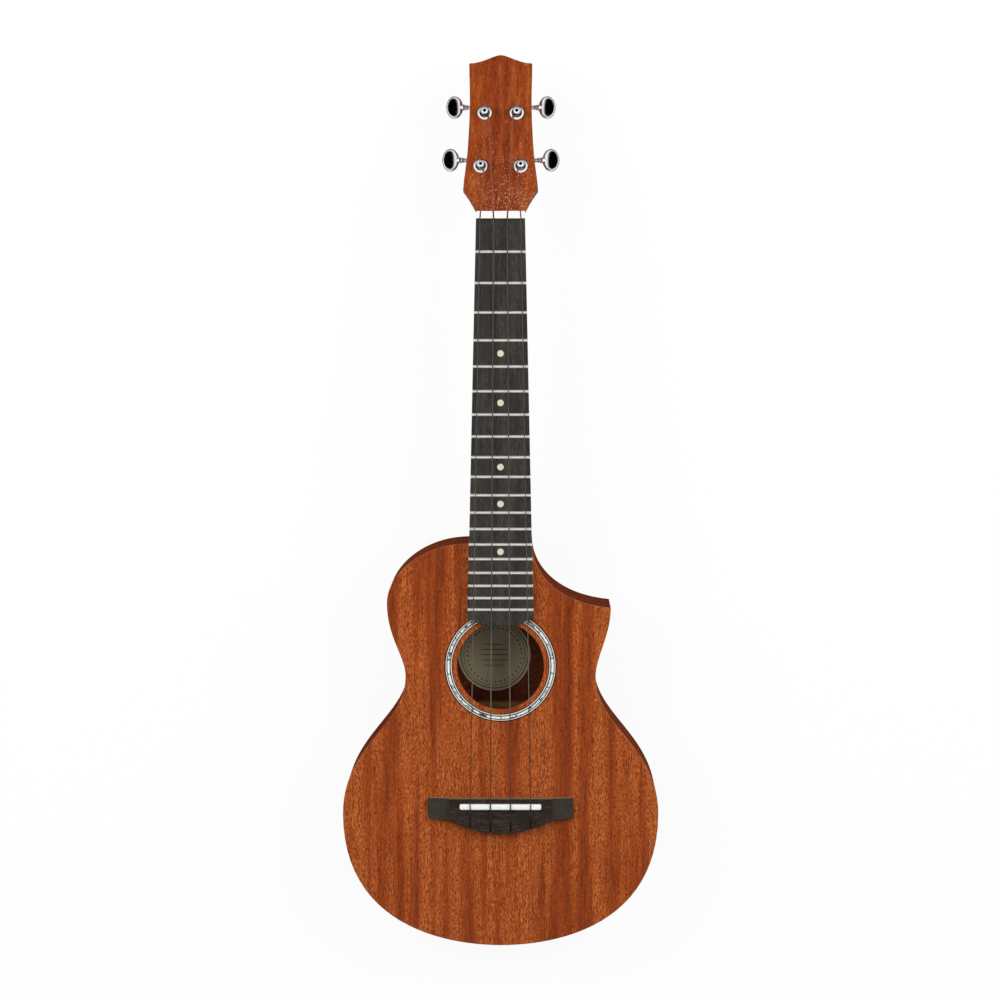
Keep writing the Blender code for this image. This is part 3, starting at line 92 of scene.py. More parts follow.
# Places that the frame fixes
NUT_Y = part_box("nut")[0].y
BODY_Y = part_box("soundboard")[1].y
HOLE_CENTRE = box_centre("rosette")
HOLE_PLACE = Matrix.Translation((0, HOLE_CENTRE.y, 0))
SADDLE_Y = box_centre("saddle").y
TOP_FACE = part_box("soundboard")[1].z
TOP_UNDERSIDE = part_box("soundboard")[0].z
BACK_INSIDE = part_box("back_plate")[1].z
BOARD_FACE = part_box("fretboard")[1].z
FRET_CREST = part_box("fret_10")[1].z
BRIDGE_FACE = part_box("bridge")[1].z
SADDLE_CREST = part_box("saddle")[1].z
POST_AXIS = Vector(JOINTS["post_bass_upper_turn"]["axis"])
HEAD_TILT = math.atan2(POST_AXIS.y, POST_AXIS.z)
FRET_COUNT = sum(name.startswith("fret_") for name in frame["nodes"])
# Inner and outer radius of the rosette, and the middle of the label along the body
ROSETTE_RADII = (35.7 * MM, 41.5 * MM)
LABEL_Y = -119.5 * MM
# Half the length of a tool that cuts right through wood
THROUGH = 0.03
# Half the length of one that bores metal
BORE = 0.01
# A height above the whole instrument
ABOVE = 0.1
# Each tuner: its side, and the string that it carries, counted from the bass side
TUNERS = {"bass_lower": (-1, 1), "bass_upper": (-1, 2), "treble_upper": (1, 3), "treble_lower": (1, 4)}
# Carries an outline drawn in X and Y to one that stands along the instrument, in Y and Z
CROSSWISE = Matrix.Rotation(math.pi / 2, 4, "Z") @ Matrix.Rotation(math.pi / 2, 4, "X")
# Carries an outline drawn in X and Y to one that stands across the instrument, in X and Z
UPRIGHT = Matrix.Rotation(math.pi / 2, 4, "X")


def linear(code):
    """Turn an sRGB hex colour into the linear values that Blender works in."""
    channels = [int(code[start : start + 2], 16) / 255 for start in (1, 3, 5)]
    return [c / 12.92 if c <= 0.04045 else ((c + 0.055) / 1.055) ** 2.4 for c in channels]


def length(name, description, millimetres):
    """A size, given in millimetres and kept in metres."""
    return FloatProperty(name=name, description=description, default=millimetres * MM, min=0,
        precision=5, unit="LENGTH")


def colour(name, description, code):
    """A colour, given as sRGB hex."""
    return FloatVectorProperty(name=name, description=description, default=linear(code), min=0, max=1,
        subtype="COLOR")


class UkuleleBodySizes(PropertyGroup):
    """Sizes of the body's plates, sides and rosette."""

    side_wall: length("Side wall", "Thickness of the bent sides", 2)
    edge: length("Edge rounding", "Radius that the plates' edges are sanded to", 0.9)
    hole_radius: length("Soundhole radius", "Radius of the soundhole", 32.2)
    hole_edge: length("Soundhole rounding", "Radius of the soundhole's upper edge", 0.5)
    channel_depth: length("Rosette channel", "Depth of the channel for the rosette", 1.2)
    black_line: length("Black line", "Width of the rosette's inner black line", 0.6)
    white_line: length("White line", "Width of the rosette's inner white line", 0.75)
    label_radius: length("Label radius", "Radius of the paper label inside the back", 27.5)
    label_x: FloatProperty(name="Label offset",
        description="How far the label sits from the middle line", default=-5.2 * MM, precision=5,
        unit="LENGTH")


class UkuleleNeckSizes(PropertyGroup):
    """Sizes of the neck, headstock, fretboard, frets and nut."""

    scale_length: length("Scale length", "Length that the frets are spaced for", 432)
    nut_half: length("Half width at the nut", "Half the fretboard's width at the nut", 18)
    end_half: length("Half width at the end", "Half the fretboard's width at its end", 24.4)
    past_last_fret: length("Past the last fret", "Board left beyond the last fret", 7.3)
    tongue: length("Tongue", "How far the board's middle reaches past its corners", 4.6)
    tongue_half: length("Tongue half width", "Half the width of the tongue's flat end", 9.6)
    board_edge: length("Board edge", "Radius of the fretboard's long edges", 0.4)
    heel_cap: length("Heel cap height", "Height of the heel's lowest face over the back", 2)
    heel_cap_half: length("Heel cap half width", "Half the width of the heel's lowest face", 10.5)
    heel_cap_length: length("Heel cap length", "Length of the heel's lowest face", 11)
    heel_length: length("Heel length", "Length over which the heel blends into the neck", 58)
    depth_at_nut: length("Depth at the nut", "Depth of the neck's wood at the nut", 13.5)
    depth_at_heel: length("Depth at the heel", "Depth of the neck's wood before the heel", 15)
    head_thickness: length("Headstock thickness", "Thickness of the headstock", 12.5)
    head_step: length("Headstock step", "Height of the headstock's face over the neck's face", 2)
    veneer: length("Veneer", "Thickness of the veneer on the headstock's face", 0.8)
    crown_width: length("Fret width", "Width of a fret's crown", 2.2)
    tang_width: length("Tang width", "Width of a fret's tang", 0.6)
    fret_overhang: length("Fret overhang", "How far a fret stands past the board's edge", 0.2)
    dot_radius: length("Dot radius", "Radius of a position dot", 2.4)
    nut_thickness: length("Nut thickness", "Thickness of the nut along the strings", 5.5)


class UkuleleBridgeSizes(PropertyGroup):
    """Sizes of the bridge and saddle, with distances from the saddle towards the tail."""

    half: length("Half width", "Half the width of the bridge", 53.8)
    front: length("Front", "How far the bridge reaches in front of the saddle", 6.1)
    wing_rear: length("Wing rear", "How far a wing reaches behind the saddle at the step", 10.8)
    wing_taper: length("Wing taper", "How much shorter a wing is at its tip", 0.5)
    rear: length("Rear", "How far the bridge's middle reaches behind the saddle", 20.6)
    step_x: length("Step", "Where the raised middle ends and a wing starts", 38)
    wing_height: length("Wing height", "Height of a wing at the step", 4.2)
    tip_height: length("Tip height", "Height of a wing at its tip", 3)
    corner: length("Corner", "Radius of the wings' corners in plan", 2)
    edge: length("Edge rounding", "Radius that the bridge's edges are sanded to", 0.5)
    slot_length: length("String slot", "Length of the slot that a string drops into", 8)
    knot_radius: length("Knot", "Radius of the knot at a string's end", 1.4)
    knot_inset: length("Knot inset", "Distance of the knot from the bridge's rear edge", 2.3)
    knot_height: length("Knot height", "Height of the knot over the soundboard", 4.2)
    saddle_half: length("Saddle half width", "Half the width of the saddle", 30.3)
    saddle_thickness: length("Saddle thickness", "Thickness of the saddle", 4.3)
    slot_gap: length("Slot gap", "Gap behind the saddle in its slot", 1)
    spacing: length("Spacing at the saddle", "Distance between strings at the saddle", 14.93)
    spacing_at_nut: length("Spacing at the nut", "Distance between strings at the nut", 10)
    over_frets: length("Over the frets", "Clearance of a string over the frets at the nut", 0.4)


class UkuleleTunerSizes(PropertyGroup):
    """Sizes of the tuners, in a frame on the headstock's face at each post."""

    flange_radius: length("Flange radius", "Radius of a bushing's flange", 5.5)
    flange_height: length("Flange height", "Height of a bushing's flange", 1.5)
    bushing_radius: length("Bushing radius", "Radius of a bushing's barrel", 4.2)
    bushing_length: length("Bushing length", "Length of a bushing's barrel", 8)
    bore: length("Bore", "Radius of a bushing's bore", 3.3)
    post_height: length("Post height", "Height of a post over the headstock", 9.6)
    post_radius: length("Post radius", "Radius of a post in its bushing", 3)
    cap_radius: length("Cap radius", "Radius of a post's cap", 3)
    cap_height: length("Cap height", "Height of a post's cap", 2.4)
    waist_radius: length("Waist radius", "Radius of a post where the string winds", 2.1)
    hole_radius: length("String hole", "Radius of the hole through a post's cap", 0.7)
    plate_half: length("Plate half width", "Half the width of a base plate", 6.4)
    plate_thickness: length("Plate thickness", "Thickness of a base plate", 1)
    worm_offset: length("Worm offset", "Distance of a worm's axis from its post's", 7.5)
    gear_radius: length("Gear radius", "Pitch radius of a gear", 5.1)
    gear_thickness: length("Gear thickness", "Thickness of a gear", 3)
    tooth: length("Tooth", "Height of a gear's teeth", 1.3)
    backlash: length("Backlash", "How much smaller a gear is than its worm allows", 0.35)
    worm_radius: length("Worm radius", "Pitch radius of a worm", 2.4)
    worm_length: length("Worm length", "Length of a worm's thread", 9)
    ear_half: length("Ear half width", "Half the width of an ear", 3.6)
    ear_thickness: length("Ear thickness", "Thickness of an ear", 1)
    shaft_radius: length("Shaft radius", "Radius of a key's shaft", 1.9)
    collar_radius: length("Collar radius", "Radius of the collar outside the ears", 3.1)
    collar_length: length("Collar length", "Length of the collar outside the ears", 1.6)
    knob_centre: length("Knob centre", "Distance of a knob's middle from its post's axis", 22.5)
    knob_half_length: length("Knob half length", "Half a knob's length along its shaft", 6.5)
    knob_half_width: length("Knob half width", "Half a knob's width across its shaft", 8.7)
    knob_thickness: length("Knob thickness", "Thickness of a knob at its middle", 5.6)
    gap: length("Clearance", "Clearance between parts that turn", 0.3)
    teeth: IntProperty(name="Teeth", description="Teeth on a gear", default=14, min=8)


class UkuleleStringSizes(PropertyGroup):
    """Sizes of the strings."""

    diameter_1: length("String 1", "Diameter of the bass side's outer string", 0.65)
    diameter_2: length("String 2", "Diameter of the bass side's inner string", 0.85)
    diameter_3: length("String 3", "Diameter of the treble side's inner string", 0.8)
    diameter_4: length("String 4", "Diameter of the treble side's outer string", 0.62)
    winding_start: length("Winding start", "Height over the headstock where winding starts", 2.4)
    winding_pitch: length("Winding pitch", "Rise of the winding in one turn", 1.02)
    winding_turns: FloatProperty(name="Turns", description="Turns of a string round its post",
        default=4.25, min=0)


class UkuleleColours(PropertyGroup):
    """Colours of the woods and other finishes."""

    top_dark: colour("Top, dark", "Dark ribbons of the top's mahogany", "#742e10")
    top_middle: colour("Top, middle", "Middle tone of the top's mahogany", "#933f17")
    top_light: colour("Top, light", "Light ribbons of the top's mahogany", "#b5602c")
    # The sides' colours are darkened as painted shade, standing in for the shade that falls on the
    # sides; the back takes them too
    side_dark: colour("Side, dark", "Dark streaks of the sides and back", "#552112")
    side_light: colour("Side, light", "Light streaks of the sides and back", "#7a3a20")
    neck_dark: colour("Neck, dark", "Dark streaks of the neck", "#5c2815")
    neck_light: colour("Neck, light", "Light streaks of the neck", "#854322")
    inside_dark: colour("Inside, dark", "Dark streaks of the bare wood inside", "#8a5a34")
    inside_light: colour("Inside, light", "Light streaks of the bare wood inside", "#b4814f")
    board_dark: colour("Fretboard, dark", "Dark streaks of the fretboard", "#2c2c2b")
    board_light: colour("Fretboard, light", "Light streaks of the fretboard", "#443e38")
    bridge_dark: colour("Bridge, dark", "Dark streaks of the bridge", "#201a18")
    bridge_light: colour("Bridge, light", "Light streaks of the bridge", "#382d26")
    # The wings' colour is a painted reflection: their scooped faces catch more light than the flat
    # middle
    wing: colour("Bridge wings", "Dry wood of the bridge's wings", "#413f39")
    bone: colour("Bone", "Nut and saddle", "#fdfcf8")
    dots: colour("Dots", "Position dots", "#efe3cd")
    shell_light: colour("Shell, light", "Bright figure of the abalone", "#ffffff")
    shell_dark: colour("Shell, dark", "Dark veins of the abalone", "#3a4040")
    line_white: colour("White line", "White lines of the rosette", "#e4e3dc")
    line_black: colour("Black line", "Black lines of the rosette", "#0f0c0a")
    fret_metal: colour("Frets", "Nickel silver of the frets", "#fbf9f2")
    chrome: colour("Chrome", "Chromed metal of the tuners", "#eeeeef")
    # The strings' tones paint in light: shade on the bridge and round a post, the top's wood as if seen
    # through them, and highlights over the headstock
    nylon: colour("Strings", "Smoke grey nylon of the strings", "#504e4a")
    nylon_shade: colour("Strings, shaded", "The strings on the bridge and round a post", "#2f2a27")
    nylon_amber: colour("Strings, amber", "The strings over the mahogany top", "#61382b")
    nylon_glow: colour("Strings, lit", "The strings over the headstock", "#8a5a3e")
    paper: colour("Label", "Paper of the label", "#ddcfaa")
    paper_ink: colour("Label ink", "Printed border of the label", "#5e5238")
    floor: colour("Floor", "Floor and background", "#ffffff")


class UkuleleStageSizes(PropertyGroup):
    """Places of the camera and strengths of the light."""

    camera_place: FloatVectorProperty(name="Camera", description="Where the camera stands",
        default=(0.0224, 0.1946, 2.579), subtype="TRANSLATION", unit="LENGTH")
    camera_tilt: FloatProperty(name="Camera tilt",
        description="Angle by which the camera leans towards the tail", default=math.radians(4.355),
        subtype="ANGLE")
    camera_turn: FloatProperty(name="Camera turn",
        description="Angle by which the camera leans towards the bass side", default=math.radians(0.52),
        subtype="ANGLE")
    lens: FloatProperty(name="Lens", description="Focal length in millimetres on a 36 mm sensor",
        default=122.9)
    lamp_power: FloatProperty(name="Lamp power", description="Power of each of the two side lamps",
        default=27, min=0)
    sky: FloatProperty(name="Sky", description="Strength of the even light from all round",
        default=0.35, min=0)


def settings(name):
    """The sizes or colours that the scene keeps under a name."""
    return getattr(bpy.context.scene, f"ukulele_{name}")


def fill(node, inputs):
    """Set a node's sockets to values, or link them to sockets or to other nodes' results."""
    for name, value in inputs.items():
        if isinstance(value, bpy.types.Node):
            value = next(socket for socket in value.outputs if socket.enabled)
        if isinstance(value, bpy.types.NodeSocket):
            node.id_data.links.new(value, node.inputs[name])
        else:
            node.inputs[name].default_value = value


def add_node(tree, kind, inputs=None, stops=(), **details):
    """Add a node, set its properties, fill or link its sockets and set its colour stops."""
    node = tree.nodes.new("ShaderNode" + kind)
    for name, value in details.items():
        setattr(node, name, value)
    fill(node, inputs or {})
    for number, (place, value) in enumerate(stops):
        elements = node.color_ramp.elements
        element = elements[number] if number < 2 else elements.new(1)
        element.position = place
        element.color = (*value, 1) if hasattr(value, "__len__") else (value, value, value, 1)
    return node


def finish(maker):
    """The material named after its maker, made the first time it is needed."""
    name = maker.__name__
    if name not in bpy.data.materials:
        material = bpy.data.materials.new(name)
        material.use_nodes = True
        add = partial(add_node, material.node_tree)
        place = add("TexCoord").outputs["Object"]
        shader = material.node_tree.nodes["Principled BSDF"]
        fill(shader, maker(add, place, settings("colours")))
    return bpy.data.materials[name]


# How colours are mixed: over one another, or by darkening
OVER = {"data_type": "RGBA"}
SHADE = {"data_type": "RGBA", "blend_type": "MULTIPLY"}


def stretched(add, place, size, detail=2, **more):
    """A noise whose features have the given sizes in millimetres along X, Y and Z."""
    scale = [1 / (side * MM) for side in size]
    spread = add("Mapping", {"Vector": place, "Scale": scale})
    return add("TexNoise", {"Vector": spread, "Scale": 1, "Detail": detail, **more})


def mottled(add, place, size, detail, low, high, ends=(0.35, 0.65)):
    """A tone that wanders between two, in patches of a size in millimetres."""
    noise = add("TexNoise", {"Vector": place, "Scale": 1 / (size * MM), "Detail": detail})
    return add("ValToRGB", {0: noise}, zip(ends, (low, high)))


def figured_wood(add, place, dark, middle, light, ribbon, line, fleck, pore, roughness, gloss,
        figure=1.0):
    """An open-pored wood under a thin satin finish.

    Each pattern is given by the size in millimetres of its features along X, Y and Z: ribbons are
    the broad bands of interlocked grain, lines the growth layers, flecks the short mottle that
    shows in the light ribbons, and pores the open vessels, which stay a little darker and lower.
    The middle tone, where it is None, lies halfway between the dark and the light one.
    """
    dark = Vector(dark)
    light = Vector(light)
    middle = Vector(middle or dark.lerp(light, 0.5))
    bright = 1.35 * light + Vector((0.02, 0.02, 0.02))
    sway = add("TexNoise", {"Vector": place, "Scale": 1 / (80 * MM), "Detail": 1}).outputs["Color"]
    swayed = add("VectorMath", {0: sway, 1: (3 * MM,) * 3, 2: place}, operation="MULTIPLY_ADD")
    ribbons, lines, flecks, pores = (stretched(add, swayed, size, detail)
        for size, detail in ((ribbon, 2), (line, 3), (fleck, 2), (pore, 1)))
    base = add("ValToRGB", {0: ribbons}, ((0.33, dark), (0.43, dark.lerp(middle, 0.6)), (0.5, middle),
            (0.58, middle.lerp(light, 0.6)), (0.68, light)))
    # Light and dark flecks stand out in the light ribbons and nearly vanish in the dark ones
    strength = add("MapRange", {0: ribbons, "From Min": 0.4, "From Max": 0.6, "To Min": 0.25,
            "To Max": figure}, interpolation_type="SMOOTHSTEP")
    shown = add("Math", {0: strength, 1: 0.75}, operation="MULTIPLY")
    fleck_tone = add("ValToRGB", {0: flecks},
        ((0.36, dark * 0.7), (0.46, middle), (0.55, light), (0.66, bright)))
    toned = add("Mix", {0: shown, 6: base, 7: fleck_tone}, **OVER)
    line_shade = add("ValToRGB", {0: lines}, ((0.32, 0.68), (0.46, 1.0), (0.7, 1.08)))
    toned = add("Mix", {0: 0.85, 6: toned, 7: line_shade}, **SHADE)
    pore_shade = add("ValToRGB", {0: pores}, ((0.3, 0.58), (0.42, 0.94), (0.5, 1.0), (0.64, 1.15)))
    toned = add("Mix", {0: 0.9, 6: toned, 7: pore_shade}, **SHADE)
    sheen = add("MapRange", {0: flecks, "From Min": 0.3, "From Max": 0.7, "To Min": roughness + 0.06,
            "To Max": roughness - 0.06})
    depth = add("Math", {0: pore_shade, 1: 0.6, 2: lines}, operation="MULTIPLY_ADD")
    bump = add("Bump", {"Height": depth, "Strength": 0.5, "Distance": 0.05 * MM})
    return {"Base Color": toned, "Roughness": sheen, "Specular IOR Level": gloss, "Normal": bump}


def satin_mahogany_top(add, place, colours):
    """Quarter-sawn mahogany, satin lacquered: light and dark ribbons along the grain, all mottled.

    Its pores, a quarter of a millimetre wide on the real wood, are drawn twice as wide to show.
    """
    return figured_wood(add, place, colours.top_dark, colours.top_middle, colours.top_light,
        ribbon=(10, 260, 10), line=(1.3, 60, 1.3), fleck=(0.5, 2.3, 0.5), pore=(0.55, 12, 0.55),
        roughness=0.45, gloss=0.1)


def satin_mahogany_head(add, place, colours):
    """The headstock's veneer: fine streaks, a redder middle and painted highlights: pale specks in a few
    pores near the nut, as if they caught the light.
    """
    dark, middle, light = map(Vector, (colours.top_dark, colours.top_middle, colours.top_light))
    wood = figured_wood(add, place, dark.lerp(middle, 0.62), middle, middle.lerp(light, 0.6),
        ribbon=(4, 260, 4), line=(0.9, 60, 0.9), fleck=(0.55, 9, 0.55), pore=(0.55, 20, 0.55),
        roughness=0.42, gloss=0.1, figure=0.25)
    # Painted highlights: pale specks in the pores, gathered on the treble side near the nut, stand in
    # for light that the pores catch
    spread = add("Mapping", {"Vector": place, "Scale": (1 / (0.8 * MM), 1 / (1.1 * MM), 1 / MM)})
    specks = add("TexNoise", {"Vector": spread, "Scale": 1})
    near = add("VectorMath", {0: place, 1: (8 * MM, NUT_Y + 8 * MM, TOP_FACE)}, operation="DISTANCE")
    patch = add("MapRange", {0: near, "From Max": 75 * MM, "To Min": 0.385, "To Max": 0.26})
    chance = add("Math", {0: patch, 1: specks}, operation="ADD")
    pore_highlight = add("ValToRGB", {0: chance}, ((0.985, 0.0), (1.0, 0.7)))
    away = add("Math", {0: add("SeparateXYZ", {0: place})}, operation="ABSOLUTE")
    outward = add("MapRange", {0: away, "From Min": 3 * MM, "From Max": 20 * MM})
    core = add("ValToRGB", {0: outward}, ((0.0, (0.83, 0.76, 0.9)), (1.0, (1, 1, 0.95))))
    toned = add("Mix", {0: 1.0, 6: wood["Base Color"], 7: core}, **SHADE)
    wood["Base Color"] = add("Mix", {0: pore_highlight, 6: toned, 7: (*linear("#e6c0a4"), 1)}, **OVER)
    return wood


def satin_mahogany_sides(add, place, colours):
    """The same wood bent on edge, in colours darkened as painted shade: its grain runs round the body.
    """
    return figured_wood(add, place, colours.side_dark, None, colours.side_light,
        ribbon=(120, 120, 8), line=(50, 50, 1.3), fleck=(2.4, 2.4, 0.6), pore=(8, 8, 0.6),
        roughness=0.55, gloss=0)


def satin_mahogany_back(add, place, colours):
    """The back's mahogany, flat sawn: broad streaks along the grain in the sides' colour, with their
    painted shade.
    """
    return figured_wood(add, place, colours.side_dark, None, colours.side_light,
        ribbon=(12, 190, 12), line=(2.2, 60, 2.2), fleck=(0.7, 2.6, 0.7), pore=(0.6, 10, 0.6),
        roughness=0.5, gloss=0.15)


def satin_mahogany_neck(add, place, colours):
    """Straight-grained mahogany of the neck, carved and satin lacquered: fine even streaks."""
    return figured_wood(add, place, colours.neck_dark, None, colours.neck_light,
        ribbon=(8, 220, 8), line=(1.4, 70, 1.4), fleck=(1.1, 4, 1.1), pore=(0.6, 6, 0.6),
        roughness=0.5, gloss=0.02)


def bare_mahogany(add, place, colours):
    """Unfinished wood of the blocks, linings and braces: dry, matt and paler than the outside."""
    return figured_wood(add, place, colours.inside_dark, None, colours.inside_light,
        ribbon=(40, 12, 12), line=(40, 1.8, 1.8), fleck=(3, 1.4, 1.4), pore=(4, 0.7, 0.7),
        roughness=0.8, gloss=0.1)


def oiled_rosewood_board(add, place, colours):
    """Oiled dark rosewood of the fretboard: nearly black, with fine pores along the strings."""
    return figured_wood(add, place, colours.board_dark, None, colours.board_light,
        ribbon=(6, 110, 6), line=(1.1, 40, 1.1), fleck=(0.9, 4, 0.9), pore=(0.6, 6, 0.6),
        roughness=0.5, gloss=0.15, figure=0.5)


def oiled_rosewood_bridge(add, place, colours):
    """The bridge's rosewood: nearly black, with a painted reflection that makes its wings paler and a
    painted highlight along its front edge.
    """
    wood = figured_wood(add, place, colours.bridge_dark, None, colours.bridge_light,
        ribbon=(24, 5, 5), line=(25, 1.2, 1.2), fleck=(3.5, 1, 1), pore=(6, 0.6, 0.6),
        roughness=0.42, gloss=0.1, figure=0.8)
    bridge = settings("bridge")
    step = bridge.step_x
    front = SADDLE_Y + bridge.front
    split = add("SeparateXYZ", {0: place})
    away = add("Math", {0: split}, operation="ABSOLUTE")
    # Painted reflection: the wings are made paler, as their tilted faces catch more light than the flat
    # middle
    wing = add("MapRange", {0: away, "From Min": step - 0.4 * MM, "From Max": step, "To Max": 0.5})
    paler = add("Mix", {0: wing, 6: wood["Base Color"], 7: (*colours.wing, 1)}, **OVER)
    # Painted highlight: a light line along the front edge, where its rounding catches the light
    edge = add("MapRange", {0: split.outputs[1], "From Min": front - 0.5 * MM,
            "From Max": front - 0.2 * MM, "To Max": 0.8})
    wood["Base Color"] = add("Mix", {0: edge, 6: paler, 7: (*linear("#a07a5a"), 1)}, **OVER)
    return wood


def polished_bone(add, place, colours):
    """Bone, sawn and polished: off-white, with faint streaks and a soft gloss."""
    streaks = stretched(add, place, (6, 1.5, 1.5), 3)
    bone = Vector(colours.bone)
    tint = add("ValToRGB", {0: streaks}, ((0.3, bone * 0.95), (0.7, bone)))
    return {"Base Color": tint, "Roughness": 0.32, "Subsurface Weight": 0.08,
        "Subsurface Radius": (1.2 * MM, 0.9 * MM, 0.6 * MM)}


def pearloid_dots(add, place, colours):
    """Moulded acrylic of the position dots: cream, with a faint pearly cloud."""
    cream = Vector(colours.dots)
    return {"Base Color": mottled(add, place, 2.5, 2, cream * 0.86, cream), "Roughness": 0.3}


def polished_abalone(add, place, colours):
    """Abalone shell inlaid in short tiles round a ring: silvery, with dark veins and faint tints.

    The pattern runs round the ring, so it is read in angle and radius. Angles start behind the
    fretboard's end, where the seam is covered.
    """
    tile = 11 * MM
    centred = add("VectorMath", {0: place, 1: (HOLE_CENTRE.x, HOLE_CENTRE.y, 0)}, operation="SUBTRACT")
    split = add("SeparateXYZ", {0: centred})
    flipped = add("Math", {0: split.outputs[1], 1: -1}, operation="MULTIPLY")
    angle = add("Math", {0: split, 1: flipped}, operation="ARCTAN2")
    across = add("VectorMath", {0: centred}, operation="LENGTH")
    along = add("Math", {0: angle, 1: sum(ROSETTE_RADII) / 2}, operation="MULTIPLY")
    count = add("Math", {0: along, 1: tile}, operation="DIVIDE")
    number = add("Math", {0: count}, operation="FLOOR")
    within = add("Math", {0: count}, operation="FRACT")
    chance = add("TexWhiteNoise", {"W": number}, noise_dimensions="1D")
    unrolled = add("CombineXYZ", {0: along, 1: across, 2: number})
    veins_at = add("Mapping", {"Vector": unrolled, "Scale": (1 / (4 * MM), 1 / (0.8 * MM), 3.7)})
    veins = add("TexNoise", {"Vector": veins_at, "Scale": 1, "Detail": 3, "Distortion": 0.6})
    figure = add("ValToRGB", {0: veins}, ((0.4, colours.shell_dark), (0.47, colours.shell_light)))
    tint = add("ValToRGB", {0: chance}, ((0.0, linear("#e6efeb")), (0.35, linear("#ffffff")),
            (0.65, linear("#f8efec")), (1.0, linear("#c2cbcb"))))
    tinted = add("Mix", {0: 1.0, 6: figure, 7: tint}, **SHADE)
    joint = add("ValToRGB", {0: within}, ((0.05, 0.1), (0.09, 1.0)))
    return {"Base Color": add("Mix", {0: 1.0, 6: tinted, 7: joint}, **SHADE), "Roughness": 0.3}


def lacquered_fibre(add, place, tone):
    """Dyed fibre strip under lacquer: an even line with a little unevenness in its dye."""
    tone = Vector(tone)
    return {"Base Color": mottled(add, place, 1.5, 2, tone * 0.85, tone), "Roughness": 0.4,
        "Specular IOR Level": 0.1}


def white_fibre(add, place, colours):
    """The rosette's white strips."""
    return lacquered_fibre(add, place, colours.line_white)


def black_fibre(add, place, colours):
    """The rosette's black strips."""
    return lacquered_fibre(add, place, colours.line_black)


def drawn_nickel_silver(add, place, colours):
    """Nickel silver wire, rolled and polished along the fret: a warm white metal, finely brushed."""
    brushed = stretched(add, place, (6, 0.3, 0.3))
    gloss = add("MapRange", {0: brushed, "To Min": 0.4, "To Max": 0.6})
    return {"Base Color": (*colours.fret_metal, 1), "Metallic": 0.7, "Roughness": gloss}


def polished_chrome(add, place, colours):
    """Chromium plate on polished metal: a mirror with faint swirls from buffing."""
    swirls = add("TexNoise", {"Vector": place, "Scale": 1 / (2 * MM), "Detail": 3})
    gloss = add("MapRange", {0: swirls, "To Min": 0.04, "To Max": 0.12})
    return {"Base Color": (*colours.chrome, 1), "Metallic": 1, "Roughness": gloss}


def nylon(add, place, tones):
    """Drawn nylon with a soft gloss, in tones that follow one another from the bridge to the nut and
    paint in light and shade.
    """
    end = NUT_Y + 10 * MM
    height = add("SeparateXYZ", {0: place}).outputs[1]
    run = add("MapRange", {0: height, "From Min": SADDLE_Y, "From Max": end})
    hole = HOLE_CENTRE.y - settings("body").hole_radius
    changes = (SADDLE_Y + settings("bridge").front, hole, hole + 58 * MM, NUT_Y + 4 * MM)
    stops = []
    for change, before, after in zip(changes, tones, tones[1:]):
        at = (change - SADDLE_Y) / (end - SADDLE_Y)
        stops += [(at - 0.004, before), (at + 0.004, after)]
    tint = add("ValToRGB", {0: run}, stops)
    toned = add("Mix", {0: 1.0, 6: tint, 7: mottled(add, place, 5, 2, 0.88, 1.0)}, **SHADE)
    return {"Base Color": toned, "Roughness": 0.35, "Specular IOR Level": 0.15}


def drawn_nylon(add, place, colours):
    """Clear smoke grey nylon of the strings, with light painted into its colour: painted shade on the
    bridge, the top's wood as if seen through it, a painted highlight over the soundhole, its own grey
    over the fretboard and a painted highlight over the headstock.
    """
    # Painted highlight: paler nylon over the soundhole
    hole_highlight = Vector(colours.nylon) * 1.7
    return nylon(add, place,
        (colours.nylon_shade, colours.nylon_amber, hole_highlight, colours.nylon, colours.nylon_glow))


def wound_nylon(add, place, colours):
    """The same nylon in tight turns round a post, where little light comes between the turns."""
    return nylon(add, place, (colours.nylon_shade,) * 5)


